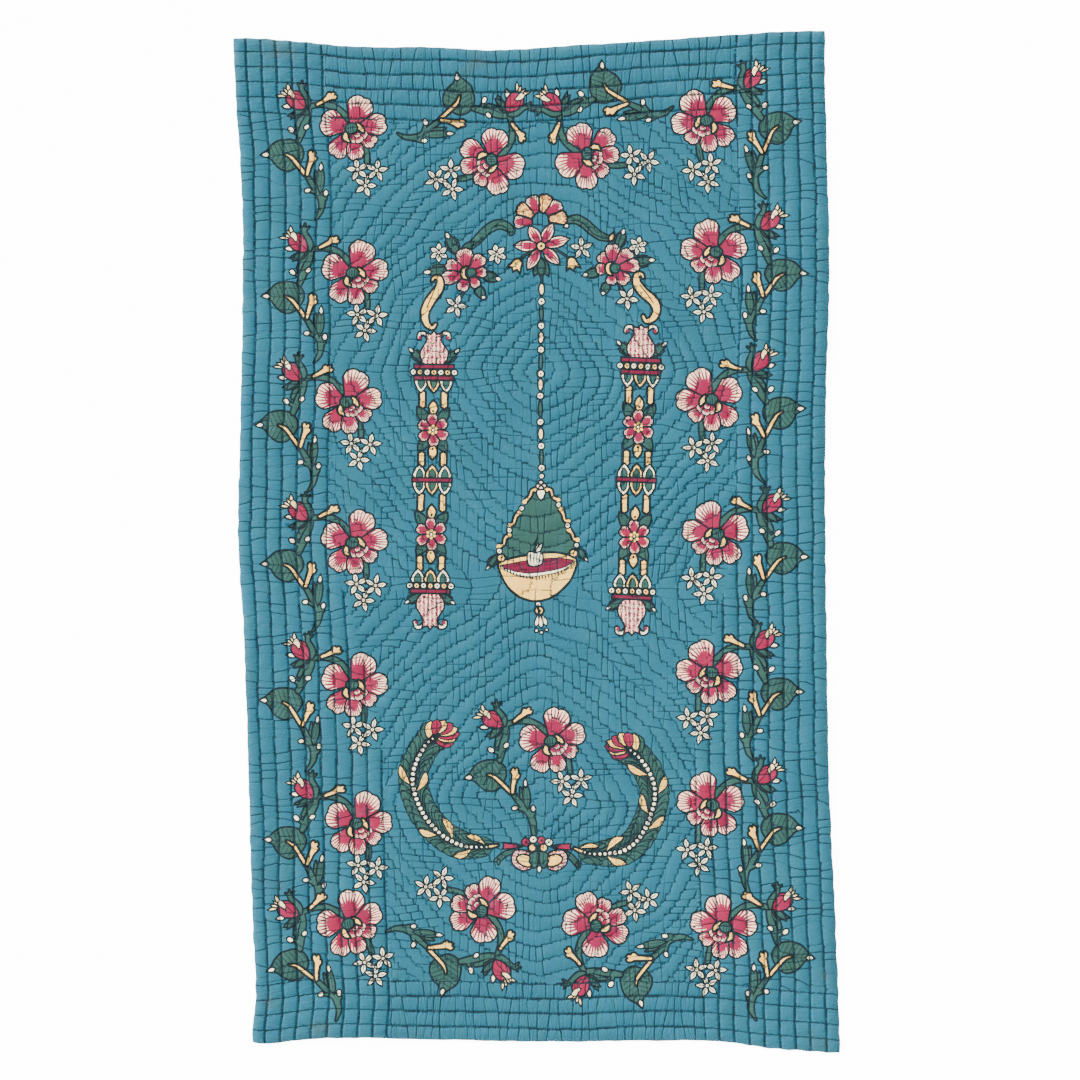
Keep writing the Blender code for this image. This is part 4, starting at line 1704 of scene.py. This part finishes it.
def shader_group(name, inputs, outputs):
    """An empty shader group with named sockets; a number's default tells it from a vector."""
    tree = bpy.data.node_groups.new(name, "ShaderNodeTree")
    for label, default in inputs.items():
        kind = "NodeSocketVector" if default is None else "NodeSocketFloat"
        socket = tree.interface.new_socket(label, in_out="INPUT", socket_type=kind)
        if default is not None:
            socket.default_value = default
    for label in outputs:
        tree.interface.new_socket(label, in_out="OUTPUT", socket_type="NodeSocketFloat")
    wires = Wires(tree)
    given = wires.node("NodeGroupInput").outputs
    fed = {socket.name: Value(wires, socket) for socket in given if socket.name}
    return wires, fed, wires.node("NodeGroupOutput").inputs


def cloth_material(name):
    """A new material: its wires, its Principled BSDF's inputs and its Object coordinates."""
    material = bpy.data.materials.new(name)
    material.use_nodes = True
    wires = Wires(material.node_tree)
    return material, wires, material.node_tree.nodes["Principled BSDF"].inputs, wires.object_position()


# ---------------------------------------------------------------- quilting, strokes, weave, cloth

def crease_set(wires, count, lane, shake, spacing, width):
    """One set of creases: millimetres from the nearest, its chance, and the mask of a thin line of
    painted shade.
    """
    shaken = shake.times_plus(CREASE_SHAKE, count)
    nearest = shaken.by("ROUND")
    away = abs(shaken - nearest) * spacing
    chance, _ = wires.white_noise(nearest, lane)
    return away, chance, away.ramp(width * LINE_CORE, width, 1.0, 0.0)


ROW_SHAKE = 0.07        # how far a row strays from its course, in rows
CREASE_SHAKE = 0.11     # the same for a crease, in creases
LINE_CORE = 0.38        # the share of a crease's width where the painted shade is quite dark
ROW_CORE = 0.42
DOT_CORE = 0.9          # the dots of painted shade in the dips where rows and creases meet, in millimetres
DOT_REACH = 2.0
ROW_VALLEY = 2.1        # how far the cloth is drawn down beside a row, in millimetres
CREASE_VALLEY = 1.5


def quilting_group():
    """Masks of the painted shade along rows and creases, and their height, from their counts; the widths
    are in millimetres.
    """
    wires, given, out = shader_group(
        "hand_quilting",
        {"Counts": None, "Setting": None, "Spacing": None, "Position": None,
         "Row Width": 1.1, "Crease Width": 0.8},
        ("Rows", "Creases", "Height"))
    count = wires.parts(given["Counts"])
    step, slanted, crossed = wires.parts(given["Setting"])
    spacing = wires.parts(given["Spacing"])
    shake = wires.noise(given["Position"], 240.0, 1.0) - 0.5
    broad = wires.noise(given["Position"], 75.0, 1.0)

    past_crease = count[1].by("FRACT") - 0.5
    jump = step * past_crease * -1.0
    lane = count[0].by("FLOOR")
    nearest = count[0].by("ROUND")
    uneven, uneven_colour = wires.white_noise(count[1].by("FLOOR"), nearest)
    jog = (uneven - 0.5).times_plus(ROW_SHAKE, jump)
    shaken = shake.times_plus(ROW_SHAKE, count[0] + jog)
    row_away = abs(shaken - shaken.by("ROUND")) * spacing[0]
    row_width = given["Row Width"] * broad.ramp(0.3, 0.7, 0.72, 1.22)
    row_mask = row_away.ramp(row_width * ROW_CORE, row_width, 1.0, 0.0)
    row_mask = row_mask * broad.ramp(0.34, 0.60, 0.70, 1.0)
    row_mask = row_mask * crossed.ramp(0.0, 0.2).larger(uneven.ramp(0.0, 0.9, 0.40, 0.95))

    # The steps that a slanting row takes along the weave, as pieces of crease.
    tread = (abs(count[0] - nearest) - abs(step) * 0.5).ramp(-0.04, 0.03, 0.9, 0.0)
    tread = tread * uneven.ramp(0.10, 0.50, 0.45, 1.0)

    width = given["Crease Width"]
    away, chance, line = crease_set(wires, count[1], lane, shake, spacing[1], width)
    likely = crossed.ramp(0.0, 0.2).times_plus(0.10, chance)
    strong = likely.ramp(0.16, 0.88).larger(crossed * 0.8).larger(tread)
    away_two, chance_two, line_two = crease_set(wires, count[2], lane, shake, spacing[2], width)
    strong_two = chance_two.ramp(0.60, 1.0, 0.0, 0.9) * slanted
    dot = away.ramp(DOT_CORE, DOT_REACH, 1.0, 0.0) * uneven.ramp(0.1, 0.6, 0.4, 1.0)
    dot = row_away.ramp(DOT_CORE, DOT_REACH, 1.0, 0.0) * dot
    # The Rows and Creases outputs are masks of painted shade in the grooves, the creases and the dips
    # where they cross.
    wires.feed(out["Rows"], row_mask.larger(dot))
    wires.feed(out["Creases"], (line * strong).larger(line_two * strong_two))

    valley = row_away.ramp(0.0, ROW_VALLEY)
    dip = strong * away.ramp(0.0, CREASE_VALLEY, 0.9, 0.0)
    dip_two = strong_two * away_two.ramp(0.0, CREASE_VALLEY, 0.9, 0.0)
    face = valley.by("MINIMUM", 1.0 - dip.larger(dip_two))
    lean = (wires.parts(uneven_colour)[0] - 0.5) * past_crease
    face = lean.times_plus(0.22, face)
    pucker = wires.noise(given["Counts"], 1.0, 3.0, 0.6, stretch=(1.1, 5.0, 0.0)) - 0.5
    pucker = pucker * row_away.ramp(0.6, 6.0, 1.0, 0.25)
    depth = crossed.ramp(0.0, 0.5, 0.62, 1.6)
    wires.feed(out["Height"], pucker.times_plus(1.5, face) * depth)
    return wires.tree


def strokes_group():
    """Mask of the fine strokes inside printed shapes."""
    wires, given, out = shader_group("block_strokes", {"Stroke": None, "Position": None}, ("Mask",))
    along, across, kind = wires.parts(given["Stroke"])
    shake = wires.noise(given["Position"], 520.0, 1.0) - 0.5
    sideways = abs(across)
    masks = {}

    turn = across.by("ARCTAN2", along.larger(0.001))
    far = (along * along + across * across * 0.22).by("SQRT")
    comb = turn.times_plus(4.3, 0.5).folded()
    reach = shake.times_plus(0.24, comb.ramp(0.12, 0.50, 0.57, 0.91)) + turn * turn * -0.16
    masks[PETAL] = (reach - far).ramp(-0.03, 0.05)

    vein = sideways.times_plus(-1.6, along * 8.0).folded()
    veins = shake.times_plus(0.10, vein).ramp(0.05, 0.12, 0.85, 0.0)
    veins = veins * sideways.ramp(0.80, 0.92, 1.0, 0.0)
    masks[LEAF] = veins.larger(sideways.ramp(0.02, 0.05, 1.0, 0.0) * 0.6)

    stripe = shake.times_plus(0.9, across * 3.2).folded()
    dash = along.times_plus(6.0, shake * 2.4).folded()
    masks[VASE] = stripe.ramp(0.14, 0.24) * dash.ramp(0.06, 0.16, 0.15, 1.0)

    rays = across.times_plus(2.2, 0.5).folded()
    ray_end = shake.times_plus(0.16, rays.ramp(0.06, 0.36, 0.62, 0.95))
    margin = abs(along - 0.45).times_plus(-0.7, 0.70)
    masks[POINTED] = (ray_end - along).ramp(-0.03, 0.04) * (margin - sideways).ramp(-0.05, 0.05)

    fleck = (turn * 3.0).folded()
    flecks = (far * 4.5).folded()
    masks[SHELL] = fleck.ramp(0.20, 0.28) * flecks.ramp(0.12, 0.22)

    masks[RIBBED] = sideways.ramp(0.10, 0.26, 1.0, 0.0) * along.ramp(0.62, 0.72, 1.0, 0.0)

    hatch = along.times_plus(0.5, across * 1.3).folded()
    masks[VANE] = (shake.times_plus(0.14, hatch).ramp(0.05, 0.12, 0.80, 0.0)
                   * along.ramp(0.70, 0.86, 1.0, 0.0))

    total = 0.0
    for number, mask in masks.items():
        total = kind.by("COMPARE", float(number), 0.25).times_plus(mask, total)
    wires.feed(out["Mask"], total)
    return wires.tree


THREADS_PER_METRE = 1900.0
SLUBS_PER_METRE = 260.0


def weave_group():
    """Height of a plain weave, and the ink's slight mottle."""
    wires, given, out = shader_group("plain_weave", {"Position": None, "Threads": 1.0},
                                     ("Height", "Mottle"))
    position = given["Position"]
    fine, long = THREADS_PER_METRE, SLUBS_PER_METRE
    warp = wires.noise(position, 1.0, 1.0, stretch=(fine, long, long))
    weft = wires.noise(position, 1.0, 1.0, stretch=(long, fine, long))
    wires.feed(out["Height"], (warp + weft) * given["Threads"])
    small = wires.noise(position, 420.0, 3.0, 0.65)
    large = wires.noise(position, 14.0, 3.0, 0.55)
    wires.feed(out["Mottle"], small * 0.45 + large * 0.55)
    return wires.tree


# Painted shade in the narrow grooves along rows and creases and in the dips where they meet, partly also
# standing in for the rows' dark thread.
GROOVE_SHADE_AND_THREAD = (0.0030, 0.0160, 0.0240, 1.0)
RUBBED = (0.10, 0.22, 0.27, 1.0)
STAIN = (0.060, 0.060, 0.028, 1.0)
EDGE_DARK = (0.016, 0.060, 0.080, 1.0)
WARM_CAST = (1.10, 1.02, 0.95, 1.0)
COOL_CAST = (0.97, 0.99, 1.01, 1.0)


def printed_cotton(quilting, strokes, weave):
    """Teal cotton with its print, with painted shade in the rows and creases, darker near the edge,
    soiled and rubbed a little.
    """
    material, wires, shader, position = cloth_material("printed_cotton_cloth")
    soil, near_edge, _ = wires.parts(wires.attribute("soil_and_edge"))
    quilt = wires.placed(quilting, Counts=wires.attribute("quilting"),
                         Setting=wires.attribute("row_step"), Spacing=wires.attribute("spacing"),
                         Position=position, Row_Width=0.92, Crease_Width=0.66)
    cloth = wires.placed(weave, Position=position, Threads=1.0)
    stroke = wires.placed(strokes, Stroke=wires.attribute("stroke"), Position=position)

    colour = wires.mix(stroke["Mask"], wires.attribute("ink", "Color"),
                       wires.attribute("stroke_ink", "Color"))
    shade = cloth["Mottle"].ramp(0.32, 0.68, 0.90, 1.08)
    colour = wires.vector_math("SCALE", {0: colour, "Scale": shade})
    cast = wires.noise(position, 1.0, 3.0, 0.6, stretch=(60.0, 22.0, 22.0)).ramp(0.35, 0.65)
    tint = wires.mix(cast, WARM_CAST, COOL_CAST)
    colour = wires.vector_math("MULTIPLY", {0: colour, 1: tint})
    rubbed = wires.noise(position, 55.0, 4.0, 0.7).ramp(0.52, 0.78) * 0.10
    colour = wires.mix(rubbed, colour, RUBBED)
    # Painted shade along the rows, the creases and their dips, a little of it the dark thread of the
    # rows.
    colour = wires.mix((quilt["Rows"] * 0.97).larger(quilt["Creases"] * 0.93), colour, GROOVE_SHADE_AND_THREAD)
    patchy = wires.noise(position, 30.0, 4.0, 0.7).ramp(0.35, 0.7)
    colour = wires.mix(soil * patchy * 0.4, colour, STAIN)
    # Darker towards the edge, in patches.
    colour = wires.mix(near_edge * patchy * 0.6, colour, EDGE_DARK)
    wires.feed(shader["Base Color"], colour)
    wires.feed(shader["Roughness"], cloth["Mottle"].ramp(0.2, 0.8, 0.86, 0.97))
    shader["Sheen Weight"].default_value = 0.04
    shader["Sheen Roughness"].default_value = 0.6
    shader["Specular IOR Level"].default_value = 0.12

    puffs = wires.bump(quilt["Height"], 0.80, 0.0013)
    wrinkles = wires.bump(wires.noise(position, 150.0, 3.0, 0.6), 0.45, 0.0009, puffs)
    wires.feed(shader["Normal"], wires.bump(cloth["Height"], 0.35, 0.00025, wrinkles))
    return material


def stitch_thread(weave):
    """Dark blue cotton thread."""
    material, wires, shader, position = cloth_material("stitch_thread")
    cloth = wires.placed(weave, Position=position, Threads=1.0)
    mottle = cloth["Mottle"].ramp(0.3, 0.7)
    wires.feed(shader["Base Color"], wires.mix(mottle, THREAD_DARK, THREAD_LIGHT))
    shader["Roughness"].default_value = 0.85
    wires.feed(shader["Normal"], wires.bump(cloth["Height"], 0.4, 0.0002))
    return material


# ---------------------------------------------------------------- stitches

STITCH_SIZES = {"Pitch": 0.0060, "Length": 0.0036, "Thickness": 0.0006}
STITCH_UNEVEN = (0.75, 1.2)
THREAD_DARK = (0.003, 0.014, 0.022, 1.0)
THREAD_LIGHT = (0.008, 0.032, 0.048, 1.0)
ROW_POINTS = 0.0035     # the spacing of the points that carry a row of stitches
THREAD_LIFT = 0.00010   # how far above the cloth the middle of the thread runs
LEAST_SLOPE = 25.0      # rows per metre, where a row's course is too flat to say


def onto_steps(points):
    """Points of a smooth row moved onto the steps that the row takes at its creases."""
    x, y = points[:, 0], points[:, 1]
    region = region_of(x, y)
    _, creases, _, step, _ = rows_and_creases(x, y, region, x, y)
    off = step * (creases - np.floor(creases) - 0.5)
    slope_x, slope_y = field_slopes(x, y)
    upright = np.abs(slope_x) > np.abs(slope_y)
    slope = np.where(upright, slope_x, slope_y)
    least = LEAST_SLOPE * np.where(slope < 0, -1.0, 1.0)
    shift = off / np.where(np.abs(slope) < LEAST_SLOPE, least, slope)
    return np.column_stack((x + np.where(upright, shift, 0.0), y + np.where(upright, 0.0, shift)))


def stitch_rows_mesh():
    """The rows of running stitches as lines on the cloth."""
    vertices = []
    edges = []
    for line in all_lines(0.0):
        if len(line) < 4:
            continue
        points = onto_steps(even_points(line, ROW_POINTS))
        height = face_height(*points.T) + THREAD_LIFT
        first = len(vertices)
        vertices += np.column_stack((points, height)).tolist()
        edges += [(first + k, first + k + 1) for k in range(len(points) - 1)]
    mesh = bpy.data.meshes.new("stitch_rows")
    mesh.from_pydata(vertices, edges, [])
    return mesh


def stitch_tree(material):
    """Running stitches along every row: pitch, length and thickness are inputs."""
    tree = bpy.data.node_groups.new("running_stitches", "GeometryNodeTree")
    face = tree.interface
    face.new_socket("Geometry", in_out="INPUT", socket_type="NodeSocketGeometry")
    for label, size in STITCH_SIZES.items():
        face.new_socket(label, in_out="INPUT", socket_type="NodeSocketFloat").default_value = size
    face.new_socket("Geometry", in_out="OUTPUT", socket_type="NodeSocketGeometry")
    wires = Wires(tree)
    given = wires.node("NodeGroupInput").outputs
    curve = wires.node("GeometryNodeMeshToCurve", {"Mesh": given["Geometry"]})
    points = wires.node("GeometryNodeCurveToPoints", mode="LENGTH")
    wires.feed(points.inputs["Curve"], curve.outputs["Curve"])
    wires.feed(points.inputs["Length"], given["Pitch"])
    align = wires.node("FunctionNodeAlignRotationToVector", {"Vector": points.outputs["Tangent"]},
                       axis="X")
    ball = wires.node("GeometryNodeMeshUVSphere", {"Segments": 4, "Rings": 3, "Radius": 0.5})
    size = wires.node("ShaderNodeCombineXYZ", {0: given["Length"], 1: given["Thickness"],
                                               2: given["Thickness"]})
    least, most = STITCH_UNEVEN
    uneven = wires.node("FunctionNodeRandomValue", {"Seed": SEED, 2: least, 3: most},
                        data_type="FLOAT")
    sized = wires.vector_math("SCALE", {0: size.outputs[0], "Scale": uneven.outputs[1]})
    stitches = wires.node("GeometryNodeInstanceOnPoints",
                          {"Points": points.outputs["Points"], "Instance": ball.outputs["Mesh"],
                           "Rotation": align.outputs["Rotation"], "Scale": sized})
    real = wires.node("GeometryNodeRealizeInstances", {"Geometry": stitches.outputs["Instances"]})
    painted = wires.node("GeometryNodeSetMaterial", {"Geometry": real.outputs["Geometry"],
                                                     "Material": material})
    wires.feed(wires.node("NodeGroupOutput").inputs["Geometry"], painted.outputs["Geometry"])
    return tree


def make_stitches(material):
    """Every running stitch of the quilting, as one mesh."""
    rows = bpy.data.objects.new("stitch_rows", stitch_rows_mesh())
    bpy.context.scene.collection.objects.link(rows)
    modifier = rows.modifiers.new("stitches", "NODES")
    modifier.node_group = stitch_tree(material)
    for item in modifier.node_group.interface.items_tree:
        if item.in_out == "INPUT" and item.name in STITCH_SIZES:
            modifier[item.identifier] = STITCH_SIZES[item.name]
    bpy.context.view_layer.update()
    evaluated = rows.evaluated_get(bpy.context.evaluated_depsgraph_get())
    mesh = bpy.data.meshes.new_from_object(evaluated)
    mesh.name = "quilting_stitches"
    stitches = bpy.data.objects.new("quilting_stitches", mesh)
    bpy.context.scene.collection.objects.link(stitches)
    bpy.data.objects.remove(rows)
    mesh.shade_smooth()
    return stitches


# ---------------------------------------------------------------- all of it

place_camera()
studio()
draw_print()
quilt = make_quilt()
weave = weave_group()
quilt.data.materials.append(printed_cotton(quilting_group(), strokes_group(), weave))
stitches = make_stitches(stitch_thread(weave))

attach(quilt, "root")
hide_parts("quilt")
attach(stitches, "root")
